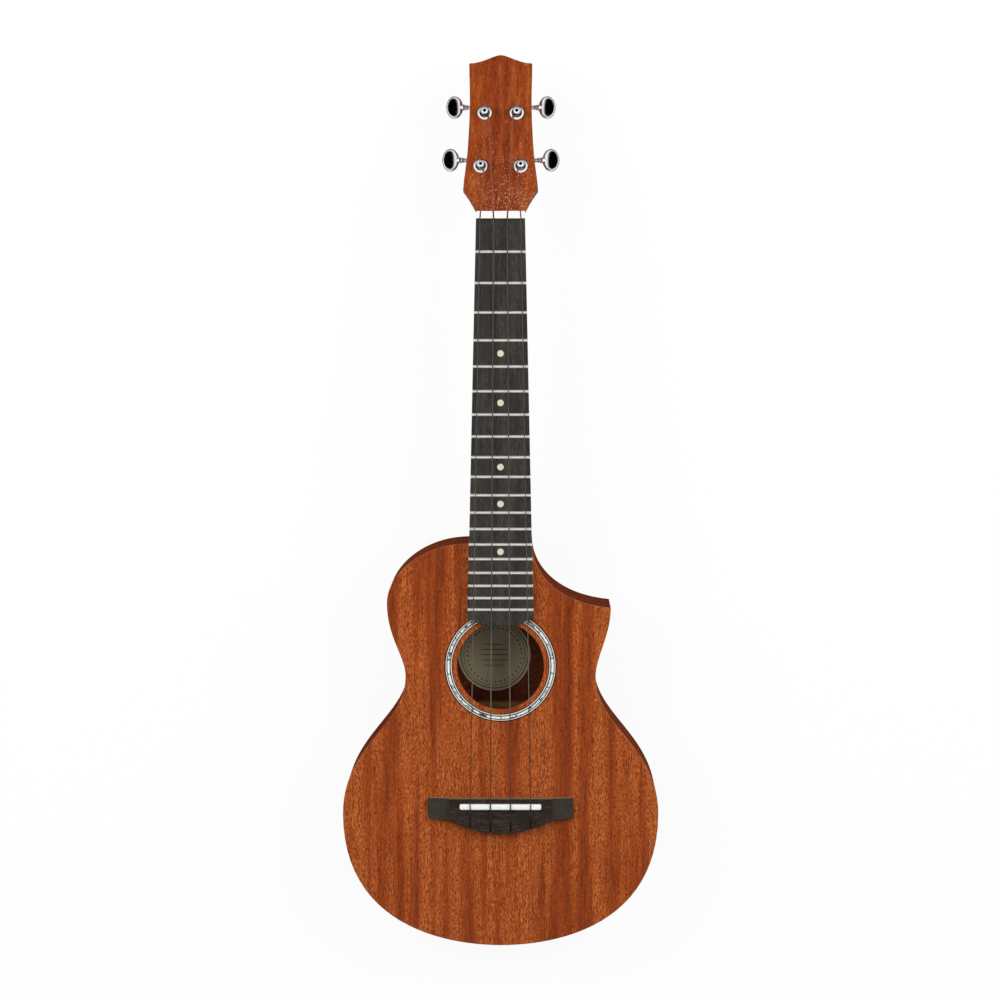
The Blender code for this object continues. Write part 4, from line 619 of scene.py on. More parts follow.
def label_paper(add, place, colours):
    """Uncoated printed paper: yellowed and matt, with printed rings, beads and ruled lines."""
    body = settings("body")
    middle = (body.label_x, LABEL_Y, BACK_INSIDE)
    centred = add("VectorMath", {0: place, 1: middle}, operation="SUBTRACT")
    radius = add("VectorMath", {0: centred}, operation="LENGTH")
    share = add("Math", {0: radius, 1: body.label_radius}, operation="DIVIDE")
    paper = Vector(colours.paper)
    tint = mottled(add, place, 1.2, 4, paper * 0.9, paper, ends=(0.3, 0.7))
    rings = add("ValToRGB", {0: share}, ((0.0, 0), (0.83, 0), (0.84, 0.6), (0.855, 0.6), (0.865, 0),
            (0.905, 0), (0.915, 0.9), (0.935, 0.9), (0.945, 0)))
    split = add("SeparateXYZ", {0: centred})
    angle = add("Math", {0: split.outputs[1], 1: split}, operation="ARCTAN2")
    turns = add("Math", {0: angle, 1: 36}, operation="MULTIPLY")
    beads = add("Math", {0: turns}, operation="SINE")
    band = add("ValToRGB", {0: share}, ((0.72, 0), (0.74, 0.9), (0.77, 0.9), (0.79, 0)))
    ring = add("Math", {0: beads, 1: band}, operation="MULTIPLY", use_clamp=True)
    rows = add("Math", {0: split.outputs[1], 1: 2 * math.pi / (4 * MM)}, operation="MULTIPLY")
    crest = add("Math", {0: rows}, operation="COSINE")
    lines = add("ValToRGB", {0: crest}, ((0.75, 0), (0.9, 0.8)))
    inner = add("ValToRGB", {0: share}, ((0.3, 1), (0.45, 0)))
    ruled = add("Math", {0: lines, 1: inner}, operation="MULTIPLY")
    ink = add("Math", {0: ring, 1: rings}, operation="MAXIMUM")
    ink = add("Math", {0: ink, 1: ruled}, operation="MAXIMUM")
    printed = add("Mix", {0: ink, 6: tint, 7: (*colours.paper_ink, 1)}, **OVER)
    return {"Base Color": printed, "Roughness": 0.85}


def piece(name, bm, maker, nodes=(), body="instrument", sharp=35, even=False):
    """Turn a bmesh into a finished piece that rides on a body and stands for CAD nodes.

    Even shading lets large flat faces stay flat where small rounded edges meet them.
    """
    thing = shown_as(name, bm)
    mesh = thing.data
    mesh.materials.append(finish(maker))
    mesh.shade_smooth()
    mesh.set_sharp_from_angle(angle=math.radians(sharp))
    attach(thing, body)
    if nodes:
        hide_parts(*nodes)
    if even:
        normals = thing.modifiers.new("even_shading", "WEIGHTED_NORMAL")
        normals.keep_sharp = True


def shown_as(name, bm):
    """An object in the scene that holds a bmesh."""
    mesh = bpy.data.meshes.new(name)
    bm.to_mesh(mesh)
    bm.free()
    thing = bpy.data.objects.new(name, mesh)
    bpy.context.scene.collection.objects.link(thing)
    return thing


def curve(start, *stretches, steps=24):
    """Points along cubic stretches, each given by its two handles and its end."""
    points = [Vector(start)]
    for leave, arrive, end in stretches:
        first = points[-1]
        last = Vector(end)
        handles = (first + Vector(leave), last + Vector(arrive))
        points += interpolate_bezier(first, *handles, last, steps + 1)[1:]
    return points


def round_point(angle, radius):
    """A point on a circle round the origin."""
    return radius * Vector((math.cos(angle), math.sin(angle)))


def arc(centre, radius, start, end, steps=6):
    """Points of an arc from one angle to another, in degrees, both ends kept."""
    angles = [math.radians(start + (end - start) * step / steps) for step in range(steps + 1)]
    return [Vector(centre) + round_point(angle, radius) for angle in angles]


def mirrored(points):
    """The same points on the other side of the middle line, in the opposite order."""
    return [Vector((-point.x, point.y)) for point in reversed(points)]


def moved(bm, matrix):
    """The same bmesh, carried to its place."""
    bmesh.ops.transform(bm, matrix=matrix, verts=bm.verts)
    return bm


def outward(bm):
    """Merge a closed shape's doubles and point its faces outwards."""
    bmesh.ops.remove_doubles(bm, verts=bm.verts, dist=0.002 * MM)
    bmesh.ops.recalc_face_normals(bm, faces=bm.faces)
    return bm


def raise_new(bm, geometry, height):
    """Lift the vertices that an extrusion has just made."""
    upper = [item for item in geometry if isinstance(item, bmesh.types.BMVert)]
    bmesh.ops.translate(bm, verts=upper, vec=(0, 0, height))


def row_of(bm, points, closed=True):
    """Vertices at the points, and the edges that join them."""
    verts = [bm.verts.new(point) for point in points]
    following = verts[1:] + verts[:1] if closed else verts[1:]
    return verts, [bm.edges.new(pair) for pair in zip(verts, following)]


def slab(outline, low, high, matrix=Matrix()):
    """Fill an outline and extrude it upward into a closed solid."""
    bm = bmesh.new()
    _, edges = row_of(bm, [(point[0], point[1], low) for point in outline])
    bmesh.ops.contextual_create(bm, geom=edges)
    raise_new(bm, bmesh.ops.extrude_face_region(bm, geom=bm.faces[:])["geom"], high - low)
    bmesh.ops.recalc_face_normals(bm, faces=bm.faces)
    return moved(bm, matrix)


def block(low, high, matrix=Matrix()):
    """A box between two corners."""
    low = Vector(low)
    high = Vector(high)
    size = Matrix.Diagonal((*(high - low), 1))
    bm = bmesh.new()
    bmesh.ops.create_cube(bm, size=1, matrix=matrix @ Matrix.Translation((low + high) / 2) @ size)
    return bm


def rod(radius, low, high, matrix=Matrix(), sides=48):
    """A round bar along Z."""
    bm = bmesh.new()
    bmesh.ops.create_cone(bm, cap_ends=True, segments=sides, radius1=radius, radius2=radius,
        depth=high - low, matrix=matrix @ Matrix.Translation((0, 0, (low + high) / 2)))
    return bm


def turned(profile, steps=48, closed=False, matrix=Matrix()):
    """Turn a profile of radius and height about Z, and weld its seam and poles."""
    bm = bmesh.new()
    verts, edges = row_of(bm, [(point[0], 0, point[1]) for point in profile], closed)
    bmesh.ops.spin(bm, geom=verts + edges, cent=(0, 0, 0), axis=(0, 0, 1), angle=2 * math.pi,
        steps=steps, use_merge=True)
    return moved(outward(bm), matrix)


def rounded(bm, offset, segments=3, keep=lambda edge: True):
    """Round the edges that turn by more than 40 degrees, or only those that keep chooses."""
    edges = []
    for edge in bm.edges:
        if len(edge.link_faces) == 2 and edge.calc_face_angle() > math.radians(40) and keep(edge):
            edges.append(edge)
    bmesh.ops.bevel(bm, geom=edges, offset=offset, segments=segments, profile=0.5, affect="EDGES",
        material=-1)
    return bm


def at_level(*levels):
    """Choose edges that lie at one of the heights."""
    return lambda edge: any(all(abs(vert.co.z - level) < 0.01 * MM for vert in edge.verts)
        for level in levels)


def combined(bm, operation, tools):
    """Cut shapes out of a solid, or add them to it, by Boolean modifiers."""
    things = [shown_as("shape", shape) for shape in [bm] + tools]
    for tool in things[1:]:
        modifier = things[0].modifiers.new("tool", "BOOLEAN")
        modifier.operation = operation
        modifier.solver = "EXACT"
        modifier.object = tool
    evaluated = things[0].evaluated_get(bpy.context.evaluated_depsgraph_get())
    result = bmesh.new()
    result.from_mesh(evaluated.data)
    for thing in things:
        mesh = thing.data
        bpy.data.objects.remove(thing)
        bpy.data.meshes.remove(mesh)
    return result


def joined(shapes):
    """Several bmeshes as one, without cutting them where they meet."""
    result = shapes[0]
    for shape in shapes[1:]:
        mesh = bpy.data.meshes.new("shape")
        shape.to_mesh(mesh)
        shape.free()
        result.from_mesh(mesh)
        bpy.data.meshes.remove(mesh)
    return result


def tube(points, radius, closed=False):
    """A round tube along points, made as a curve and turned into a closed bmesh."""
    data = bpy.data.curves.new("tube", "CURVE")
    data.dimensions = "3D"
    data.bevel_depth = radius
    data.bevel_resolution = 4
    data.use_fill_caps = not closed
    spline = data.splines.new("POLY")
    spline.points.add(len(points) - 1)
    for point, spot in zip(spline.points, points):
        point.co = (*spot, 1)
    spline.use_cyclic_u = closed
    thing = bpy.data.objects.new("tube", data)
    bpy.context.scene.collection.objects.link(thing)
    evaluated = thing.evaluated_get(bpy.context.evaluated_depsgraph_get())
    mesh = bpy.data.meshes.new_from_object(evaluated)
    bm = bmesh.new()
    bm.from_mesh(mesh)
    bpy.data.objects.remove(thing)
    bpy.data.curves.remove(data)
    bpy.data.meshes.remove(mesh)
    return outward(bm)


def on_body(x, distance):
    """A point in plan, in millimetres, from its distance below the neck joint."""
    return Vector((x * MM, BODY_Y - distance * MM))


def mm(*pairs):
    """Points or handles given in millimetres, as cubic stretches take them."""
    return [Vector(pair) * MM for pair in pairs]


def board_half(distance):
    """Half the fretboard's width at a distance from the nut."""
    neck = settings("neck")
    end = fret_distance(FRET_COUNT) + neck.past_last_fret
    return neck.nut_half + (neck.end_half - neck.nut_half) * distance / end


def fret_distance(number):
    """Distance from the nut to a fret, by the equal-tempered rule."""
    return settings("neck").scale_length * (1 - 2 ** (-number / 12))


def body_stretch(leave, arrive, x, distance):
    """One stretch of the body's edge: two handles and an end, in millimetres."""
    return *mm(leave, arrive), on_body(x, distance)


def bass_edge():
    """The body's edge from the neck joint round the bass side to the tail."""
    return curve(on_body(-24, 0), body_stretch((-34.9, 0), (0, 20.4), -84.2, 44),
        body_stretch((0, -26.1), (0, 15.2), -70.5, 99),
        body_stretch((0, -37.3), (0, 50.5), -117.3, 201.5),
        body_stretch((0, -83.5), (-43, 0), 0, 300.6))


def treble_edge():
    """The body's edge from the tail up the treble side to the tip of the horn."""
    return curve(on_body(0, 300.6), body_stretch((43, 0), (0, -83.5), 117.3, 201.5),
        body_stretch((0, 50.5), (0, -37.3), 70.5, 99), body_stretch((0, 15.2), (0, -20.9), 81.6, 47.7))


def cutaway_edge():
    """The hollow edge from the tip of the horn to the neck joint."""
    inner = board_half(NUT_Y - BODY_Y) / MM
    return curve(on_body(81.6, 47.7), body_stretch((-42.9, 4.3), (0, -19), inner, 0))


def body_outline():
    """The whole edge of the body, in one round from the neck joint."""
    return bass_edge() + treble_edge()[1:] + cutaway_edge()[1:]


class UKULELE_OT_soundboard(Operator):
    """Make the mahogany top with its soundhole and the channel for the rosette"""

    bl_idname = "ukulele.soundboard"
    bl_label = "Soundboard"

    def execute(self, context):
        sizes = settings("body")
        edge = sizes.hole_edge
        board = rounded(slab(body_outline(), TOP_UNDERSIDE, TOP_FACE), sizes.edge,
            keep=at_level(TOP_FACE))
        wide = sizes.hole_radius + edge
        lip = arc((wide, TOP_FACE - edge), edge, 180, 90)
        under = TOP_UNDERSIDE - THROUGH
        hole = [(0, under), (sizes.hole_radius, under), *lip, (wide, ABOVE), (0, ABOVE)]
        floor = TOP_FACE - sizes.channel_depth
        inner, outer = ROSETTE_RADII
        channel = [(inner, floor), (outer, floor), (outer, ABOVE), (inner, ABOVE)]
        tools = [turned(hole, 128, matrix=HOLE_PLACE), turned(channel, 128, True, HOLE_PLACE)]
        piece("top_plate", combined(board, "DIFFERENCE", tools), satin_mahogany_top,
            ["soundboard"], even=True)
        return {"FINISHED"}


class UKULELE_OT_rosette(Operator):
    """Make the rosette: a ring of shell between black and white lines"""

    bl_idname = "ukulele.rosette"
    bl_label = "Rosette"

    def execute(self, context):
        sizes = settings("body")
        edge, outer = ROSETTE_RADII
        low = TOP_FACE - sizes.channel_depth
        high = TOP_FACE + 0.02 * MM
        widths = {"black": sizes.black_line, "white": sizes.white_line, "shell": 0}
        # Each strip from the inside out, as a share of the inner strip of its kind
        strips = (("black", 1), ("white", 1), ("black", 1.25), ("shell", 1), ("black", 1.05),
            ("white", 0.9), ("black", 1.3))
        widths["shell"] = outer - edge - sum(widths[kind] * share for kind, share in strips)
        rings = {kind: [] for kind in widths}
        for kind, share in strips:
            end = edge + widths[kind] * share
            profile = [(edge, low), (end, low), (end, high), (edge, high)]
            rings[kind].append(turned(profile, 160, True, HOLE_PLACE))
            edge = end
        piece("shell_ring", joined(rings["shell"]), polished_abalone, ["rosette"])
        piece("white_lines", joined(rings["white"]), white_fibre)
        piece("black_lines", joined(rings["black"]), black_fibre)
        return {"FINISHED"}


class UKULELE_OT_back(Operator):
    """Make the back plate and the paper label glued to its inner face"""

    bl_idname = "ukulele.back"
    bl_label = "Back and label"

    def execute(self, context):
        sizes = settings("body")
        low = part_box("back_plate")[0].z
        plate = rounded(slab(body_outline(), low, BACK_INSIDE), sizes.edge, keep=at_level(low))
        piece("bottom_plate", plate, satin_mahogany_back, ["back_plate"], even=True)
        circle = arc((sizes.label_x, LABEL_Y), sizes.label_radius, 0, 360, 96)[:-1]
        piece("label", slab(circle, BACK_INSIDE, BACK_INSIDE + 0.2 * MM), label_paper)
        return {"FINISHED"}


def strip(path, low, high, thickness):
    """A bent strip on edge, with its outer face on the path and its wall inside the body."""
    bm = bmesh.new()
    row, edges = row_of(bm, [(point.x, point.y, low) for point in path], closed=False)
    raise_new(bm, bmesh.ops.extrude_edge_only(bm, edges=edges)["geom"], high - low)
    bm.normal_update()
    along = path[1] - path[0]
    if row[0].link_faces[0].normal.dot(Vector((along.y, -along.x, 0))) < 0:
        bmesh.ops.reverse_faces(bm, faces=bm.faces)
    bmesh.ops.solidify(bm, geom=bm.faces[:], thickness=thickness)
    return bm


def cut_path(points, value, coordinate):
    """The stretch of a path that lies below a value on one axis, cut where it crosses."""
    kept = []
    for first, second in zip(points, points[1:]):
        first_in = first[coordinate] < value
        if first_in:
            kept.append(first)
        if first_in != (second[coordinate] < value):
            share = (value - first[coordinate]) / (second[coordinate] - first[coordinate])
            kept.append(first.lerp(second, share))
    return kept + points[-1:] if points[-1][coordinate] < value else kept


class UKULELE_OT_sides(Operator):
    """Make the three bent sides: bass, treble and cutaway"""

    bl_idname = "ukulele.sides"
    bl_label = "Sides"

    def execute(self, context):
        wall = settings("body").side_wall
        joint = [on_body(board_half(NUT_Y - BODY_Y) / MM, 0)]
        cutaway = cut_path(cut_path(cutaway_edge(), 81.6 * MM - wall, 0), BODY_Y - wall, 1)
        paths = {"bass": joint + bass_edge(), "treble": treble_edge(), "cutaway": cutaway}
        for name, path in paths.items():
            piece(f"{name}_side", strip(path, BACK_INSIDE, TOP_UNDERSIDE, wall), satin_mahogany_sides,
                [f"side_{name}"], sharp=50)
        return {"FINISHED"}


class UKULELE_OT_inner_wood(Operator):
    """Give the blocks, linings, braces and bridge plate their bare wood"""

    bl_idname = "ukulele.inner_wood"
    bl_label = "Inner wood"

    def execute(self, context):
        for name, node in frame["nodes"].items():
            if name.endswith("_block") or name.startswith(("lining_", "soundboard_brace", "back_brace",
                    "bridge_plate")):
                node.data.materials.clear()
                node.data.materials.append(finish(bare_mahogany))
        return {"FINISHED"}


def head_frame():
    """A frame on the headstock's face, with its origin at the back of the nut."""
    neck = settings("neck")
    place = Matrix.Translation((0, NUT_Y + neck.nut_thickness, TOP_FACE + neck.head_step))
    return place @ Matrix.Rotation(-HEAD_TILT, 4, "X")


def head_outline():
    """The headstock's face, from the nut up the treble edge, over the crest and down again."""
    half = curve((18 * MM, 0), mm((2.2, 5.33), (-3.2, -4.27), (27.5, 16)),
        mm((-0.8, 10.67), (0.8, -10.67), (24.3, 44.8)), mm((-0.8, 12.4), (0, -12.4), (22.7, 82)),
        mm((0, 12.4), (0, -9), (23.2, 109.3)), mm((0, 0.7), (0.7, 0), (22.1, 110.3)),
        mm((-9, 0.2), (5, 0), (0, 116.4)), steps=16)
    return half + mirrored(half[:-1])


def neck_section(y, half, top, depth, sides=36):
    """One closed section of the neck: flat on top, and a round or tapered lower side."""
    neck = settings("neck")
    blend = min(1, max(0, (depth - neck.depth_at_heel) / (2 * neck.depth_at_heel)))
    exponent = 1 - 0.35 * blend
    points = []
    for step in range(sides + 1):
        angle = math.pi * step / sides
        across = math.copysign(abs(math.cos(angle)) ** exponent, math.cos(angle))
        down = math.sin(angle) ** exponent
        width = half - blend * (half - neck.heel_cap_half) * down
        points.append((across * width, y, top - depth * down))
    return points


def neck_shaft():
    """A loft from the heel to the back of the nut, which ends inside the headstock."""
    neck = settings("neck")
    heel_depth = TOP_FACE - neck.heel_cap
    places = [(neck.heel_cap_length * share, heel_depth) for share in (0, 0.5, 1)]
    steps = 28
    for step in range(1, steps + 1):
        angle = math.pi / 2 * (1 - step / steps)
        distance = neck.heel_length - (neck.heel_length - neck.heel_cap_length) * math.sin(angle)
        depth = heel_depth + (neck.depth_at_heel - heel_depth) * math.cos(angle)
        places.append((distance, depth))
    sections = []
    for distance, depth in places:
        half = board_half(NUT_Y - BODY_Y - distance)
        sections.append(neck_section(BODY_Y + distance, half, TOP_FACE, depth))
    back = NUT_Y + neck.nut_thickness
    for y in (NUT_Y, back):
        sections.append(neck_section(y, neck.nut_half, TOP_FACE, neck.depth_at_nut))
    thickness = neck.head_thickness
    for share in (0.2, 0.4, 0.6, 0.8, 1):
        run = thickness * 1.4 * share
        fall = run * math.tan(HEAD_TILT)
        top = TOP_FACE + neck.head_step - fall - thickness * 0.4
        bottom = TOP_FACE - neck.depth_at_nut - fall * (1 - 0.75 * share)
        sections.append(neck_section(back + run, neck.nut_half * (1 - 0.2 * share), top, top - bottom))
    bm = bmesh.new()
    rings = [row_of(bm, section)[1] for section in sections]
    for first, second in zip(rings, rings[1:]):
        bmesh.ops.bridge_loops(bm, edges=first + second)
    for ring in (rings[0], rings[-1]):
        bmesh.ops.contextual_create(bm, geom=ring)
    bmesh.ops.recalc_face_normals(bm, faces=bm.faces)
    return bm


def tuner_frame(name):
    """A frame on the headstock's face with its origin on a post's axis."""
    face = head_frame()
    local = face.inverted() @ Vector(JOINTS[f"post_{name}_turn"]["pos_m"])
    return face @ Matrix.Translation((local.x, local.y, 0))


class UKULELE_OT_neck(Operator):
    """Make the neck with its heel and headstock, and the veneer on the headstock's face"""

    bl_idname = "ukulele.neck"
    bl_label = "Neck and headstock"

    def execute(self, context):
        neck = settings("neck")
        face = head_frame()
        back = -neck.head_thickness
        head = rounded(slab(head_outline(), back, -neck.veneer), 1.2 * MM, keep=at_level(back))
        veneer = rounded(slab(head_outline(), -neck.veneer, 0), 0.35 * MM, keep=at_level(0))
        reach = 2 * neck.nut_half
        seat = block((-reach, NUT_Y - neck.nut_thickness, TOP_FACE),
            (reach, NUT_Y + neck.nut_thickness, ABOVE))
        wood = combined(neck_shaft(), "UNION", [moved(head, face)])
        for name, bm, maker, slot, nodes, seats in (
                ("carved_neck", wood, satin_mahogany_neck, "neck_wood", ["neck"], [seat]),
                ("head_veneer", moved(veneer, face), satin_mahogany_head, "mahogany_top", [], [])):
            radius = settings("tuners").bushing_radius
            holes = [rod(radius, -THROUGH, THROUGH, tuner_frame(tuner)) for tuner in TUNERS]
            piece(name, combined(bm, "DIFFERENCE", seats + holes), maker, nodes, even=True)
        return {"FINISHED"}


class UKULELE_OT_fretboard(Operator):
    """Make the fretboard and its position dots"""

    bl_idname = "ukulele.fretboard"
    bl_label = "Fretboard"

    def execute(self, context):
        neck = settings("neck")
        end = NUT_Y - fret_distance(FRET_COUNT) - neck.past_last_fret
        half = neck.end_half
        bend = (half - neck.tongue_half) / 2
        edge = [Vector((neck.nut_half, NUT_Y))] + curve((half, end),
            ((-bend, 0), (bend, 0), (neck.tongue_half, end - neck.tongue)), steps=12)
        board = rounded(slab(edge + mirrored(edge), TOP_FACE, BOARD_FACE), neck.board_edge,
            keep=at_level(BOARD_FACE))
        places = {}
        for number in (5, 7, 10, 12, 15):
            at = (fret_distance(number - 1) + fret_distance(number)) / 2
            places[number] = Matrix.Translation((0, NUT_Y - at, 0))
        radius = neck.dot_radius
        depth = 1.5 * MM
        holes = [rod(radius, BOARD_FACE - depth, ABOVE, place) for place in places.values()]
        piece("fingerboard", combined(board, "DIFFERENCE", holes), oiled_rosewood_board,
            ["fretboard"], even=True)
        top = BOARD_FACE + 0.03 * MM
        for number, place in places.items():
            profile = [(0, top), (radius * 0.9, top), (radius, BOARD_FACE), (radius, top - depth),
                (0, top - depth)]
            piece(f"position_dot_{number:02d}", turned(profile, 32, matrix=place), pearloid_dots)
        return {"FINISHED"}


class UKULELE_OT_frets(Operator):
    """Make the frets, with dressed ends and tangs that show at the board's edges"""

    bl_idname = "ukulele.frets"
    bl_label = "Frets"

    def execute(self, context):
        neck = settings("neck")
        height = FRET_CREST - BOARD_FACE
        tang = neck.tang_width / 2
        for number in range(1, FRET_COUNT + 1):
            at = fret_distance(number)
            half = board_half(at) + neck.fret_overhang
            crown = [Vector((neck.crown_width / 2 * point.x, height * point.y))
                for point in arc((0, 0), 1, 0, 180, 12)]
            bm = slab(crown, -half, half)
            for vert in bm.verts:
                # The ends are filed back over the crown's height
                vert.co.z -= math.copysign(0.9 * vert.co.y, vert.co.z)
            reach = half - neck.fret_overhang / 2
            bm = joined([bm, block((-tang, -1.8 * MM, -reach), (tang, 0.1 * MM, reach))])
            place = Matrix.Translation((0, NUT_Y - at, BOARD_FACE)) @ CROSSWISE
            piece(f"fret_wire_{number:02d}", moved(bm, place), drawn_nickel_silver,
                [f"fret_{number:02d}"])
        return {"FINISHED"}


def string_x(number, spacing):
    """A string's distance from the middle line, where neighbours lie a spacing apart."""
    return (number - 2.5) * spacing


def diameter(number):
    return getattr(settings("strings"), f"diameter_{number}")


def knot_place(number):
    """Where a string's knot sits in the bridge's rear edge."""
    bridge = settings("bridge")
    x = string_x(number, bridge.spacing)
    return Vector((x, SADDLE_Y - bridge_rear(x) + bridge.knot_inset, TOP_FACE + bridge.knot_height))


def nut_place(number):
    """Where a string's axis crosses the front of the nut."""
    bridge = settings("bridge")
    height = FRET_CREST + bridge.over_frets + diameter(number) / 2
    return Vector((string_x(number, bridge.spacing_at_nut), NUT_Y, height))


def string_points(name):
    """Points along a string from its knot to its post, and points of its winding round the post."""
    side, number = TUNERS[name]
    strings = settings("strings")
    tuners = settings("tuners")
    radius = diameter(number) / 2
    clear = tuners.gap + radius
    knot = knot_place(number)
    crest = Vector((knot.x, SADDLE_Y, SADDLE_CREST + clear))
    slot_start = SADDLE_Y - bridge_rear(knot.x) + settings("bridge").slot_length
    entry = Vector((knot.x, slot_start, BRIDGE_FACE + clear))
    place = tuner_frame(name)
    steps = 48
    winding = []
    for step in range(round(strings.winding_turns * steps) + 1):
        x, y = round_point(2 * math.pi * step / steps, tuners.waist_radius + clear)
        height = strings.winding_start + strings.winding_pitch * step / steps
        winding.append(place @ Vector((-side * x, y, height)))
    corners = [knot, entry, crest, nut_place(number), winding[0]]
    points = [knot]
    for before, corner, after in zip(corners, corners[1:], corners[2:]):
        # Each corner is eased over a short bend
        start = corner + (before - corner).normalized() * 1.2 * MM
        end = corner + (after - corner).normalized() * 1.2 * MM
        points += interpolate_bezier(start, start.lerp(corner, 0.6), end.lerp(corner, 0.6), end, 6)
    return points + winding[:1], winding


class UKULELE_OT_nut(Operator):
    """Make the bone nut with a slot for each string"""

    bl_idname = "ukulele.nut"
    bl_label = "Nut"

    def execute(self, context):
        neck = settings("neck")
        high = (neck.nut_half, NUT_Y + neck.nut_thickness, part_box("nut")[1].z)
        bm = rounded(block((-neck.nut_half, NUT_Y, TOP_FACE), high), 0.5 * MM)
        cuts = []
        for name, (_, number) in TUNERS.items():
            start = nut_place(number)
            turn = (string_points(name)[1][0] - start).to_track_quat("Y", "Z").to_matrix().to_4x4()
            half = diameter(number) / 2 + 0.15 * MM
            cuts.append(block((-half, -THROUGH, -half), (half, THROUGH, THROUGH),
                    Matrix.Translation(start) @ turn))
        piece("bone_nut", combined(bm, "DIFFERENCE", cuts), polished_bone, ["nut"],
            even=True)
        return {"FINISHED"}


def bridge_edge():
    """Half of the bridge's outline behind the saddle line, from the treble front to the rear."""
    bridge = settings("bridge")
    corner = bridge.corner
    tip = bridge.half - corner
    edge = arc((tip, corner - bridge.front), corner, -90, 0)
    edge += arc((tip, bridge.wing_rear - bridge.wing_taper - corner), corner, 0, 90)
    bulge = bridge.rear - bridge.wing_rear
    return edge + curve((bridge.step_x, bridge.wing_rear),
        ((-bulge, bulge / 2), (bulge * 1.5, 0), (0, bridge.rear)), steps=32)


def bridge_rear(x):
    """How far the bridge reaches behind the saddle, at a distance from its middle."""
    bridge = settings("bridge")
    rear = [point for point in bridge_edge() if point.y > bridge.wing_rear - 0.01 * MM]
    for first, second in zip(rear, rear[1:]):
        if second.x <= abs(x) <= first.x:
            share = (first.x - abs(x)) / (first.x - second.x)
            return first.lerp(second, share).y
    return bridge.rear


class UKULELE_OT_bridge(Operator):
    """Make the bridge with its scooped wings, saddle slot, string slots and knot pockets"""

    bl_idname = "ukulele.bridge"
    bl_label = "Bridge"

    def execute(self, context):
        bridge = settings("bridge")
        corner = bridge.corner
        half = [Vector((point.x, SADDLE_Y - point.y)) for point in bridge_edge()]
        body = slab(half + mirrored(half[:-1]), TOP_FACE, BRIDGE_FACE)
        over = 2 * (BRIDGE_FACE - TOP_FACE)
        reach = bridge.half + corner
        scoop = [(bridge.step_x, over), *curve((bridge.step_x, bridge.wing_height + corner),
                ((0, -corner), (-corner * 2, 0), (bridge.half, bridge.tip_height)), steps=12),
            (reach, bridge.tip_height), (reach, over)]
        place = Matrix.Translation((0, SADDLE_Y, TOP_FACE)) @ UPRIGHT
        scoops = [slab([(side * x, y) for x, y in scoop], -THROUGH, THROUGH, place)
            for side in (-1, 1)]
        body = combined(body, "DIFFERENCE", scoops)
        bmesh.ops.dissolve_limit(body, angle_limit=math.radians(0.5), verts=body.verts,
            edges=body.edges)
        body = rounded(body, bridge.edge, keep=lambda edge: not at_level(TOP_FACE)(edge))
        slot = bridge.saddle_thickness / 2
        low = (-bridge.saddle_half, SADDLE_Y - slot - bridge.slot_gap, BRIDGE_FACE - 4.2 * MM)
        cuts = [block(low, (bridge.saddle_half, SADDLE_Y + slot, ABOVE))]
        radius = bridge.knot_radius + 0.5 * MM
        for number in range(1, 5):
            knot = knot_place(number)
            width = diameter(number) / 2 + 0.1 * MM
            rear = SADDLE_Y - bridge_rear(knot.x)
            cuts.append(block((knot.x - width, rear - 2 * MM, knot.z - width),
                    (knot.x + width, rear + bridge.slot_length, ABOVE)))
            cuts.append(rod(radius, -radius, 4 * radius, Matrix.Translation(knot) @ UPRIGHT, 32))
        piece("carved_bridge", combined(body, "DIFFERENCE", cuts), oiled_rosewood_bridge,
            ["bridge"], even=True)
        return {"FINISHED"}


class UKULELE_OT_saddle(Operator):
    """Make the bone saddle with its round crest and rounded ends"""

    bl_idname = "ukulele.saddle"
    bl_label = "Saddle"

    def execute(self, context):
        bridge = settings("bridge")
        end = bridge.saddle_half
        half = bridge.saddle_thickness / 2
        crest = SADDLE_CREST - BRIDGE_FACE
        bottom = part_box("saddle")[0].z - BRIDGE_FACE
        profile = curve((half, crest - 1.2 * MM), ((0, 1 * MM), (1 * MM, 0), (0, crest)), steps=10)
        profile += mirrored(profile[:-1]) + [(-half, bottom), (half, bottom)]
        bm = rounded(slab(profile, -end, end), 1.4 * MM, segments=5, keep=at_level(end, -end))
        place = Matrix.Translation((0, SADDLE_Y, BRIDGE_FACE)) @ CROSSWISE
        piece("bone_saddle", moved(bm, place), polished_bone, ["saddle"], even=True)
        return {"FINISHED"}


class UKULELE_OT_strings(Operator):
    """Make the four strings, each from its knot to its winding round a post"""

    bl_idname = "ukulele.strings"
    bl_label = "Strings"

    def execute(self, context):
        for name, (_, number) in TUNERS.items():
            radius = diameter(number) / 2
            size = (settings("bridge").knot_radius - radius) / 3
            points, winding = string_points(name)
            loop = []
            for step in range(60):
                angle = 2 * math.pi * step / 60
                loop.append(points[0] + size * Vector((math.sin(angle) + 2 * math.sin(2 * angle),
                            math.sin(3 * angle) * 1.2, math.cos(angle) - 2 * math.cos(2 * angle))))
            bm = joined([tube(points, radius), tube(loop, radius, closed=True)])
            piece(f"nylon_string_{number}", bm, drawn_nylon, [f"string_{number}"], sharp=60)
            piece(f"string_winding_{number}", tube(winding, radius), wound_nylon, sharp=60)
        return {"FINISHED"}


def plate_levels():
    """Lower and upper face of a base plate, from the headstock's face."""
    tuners = settings("tuners")
    back = -settings("neck").head_thickness
    return back - tuners.gap - tuners.plate_thickness, back


def worm_level():
    """Height of the worms' axes below the headstock's face."""
    tuners = settings("tuners")
    return plate_levels()[0] - tuners.gap - tuners.worm_radius - tuners.tooth / 2


def worm_axis():
    """From a post's frame to the middle of its worm."""
    return Matrix.Translation((0, settings("tuners").worm_offset, worm_level()))


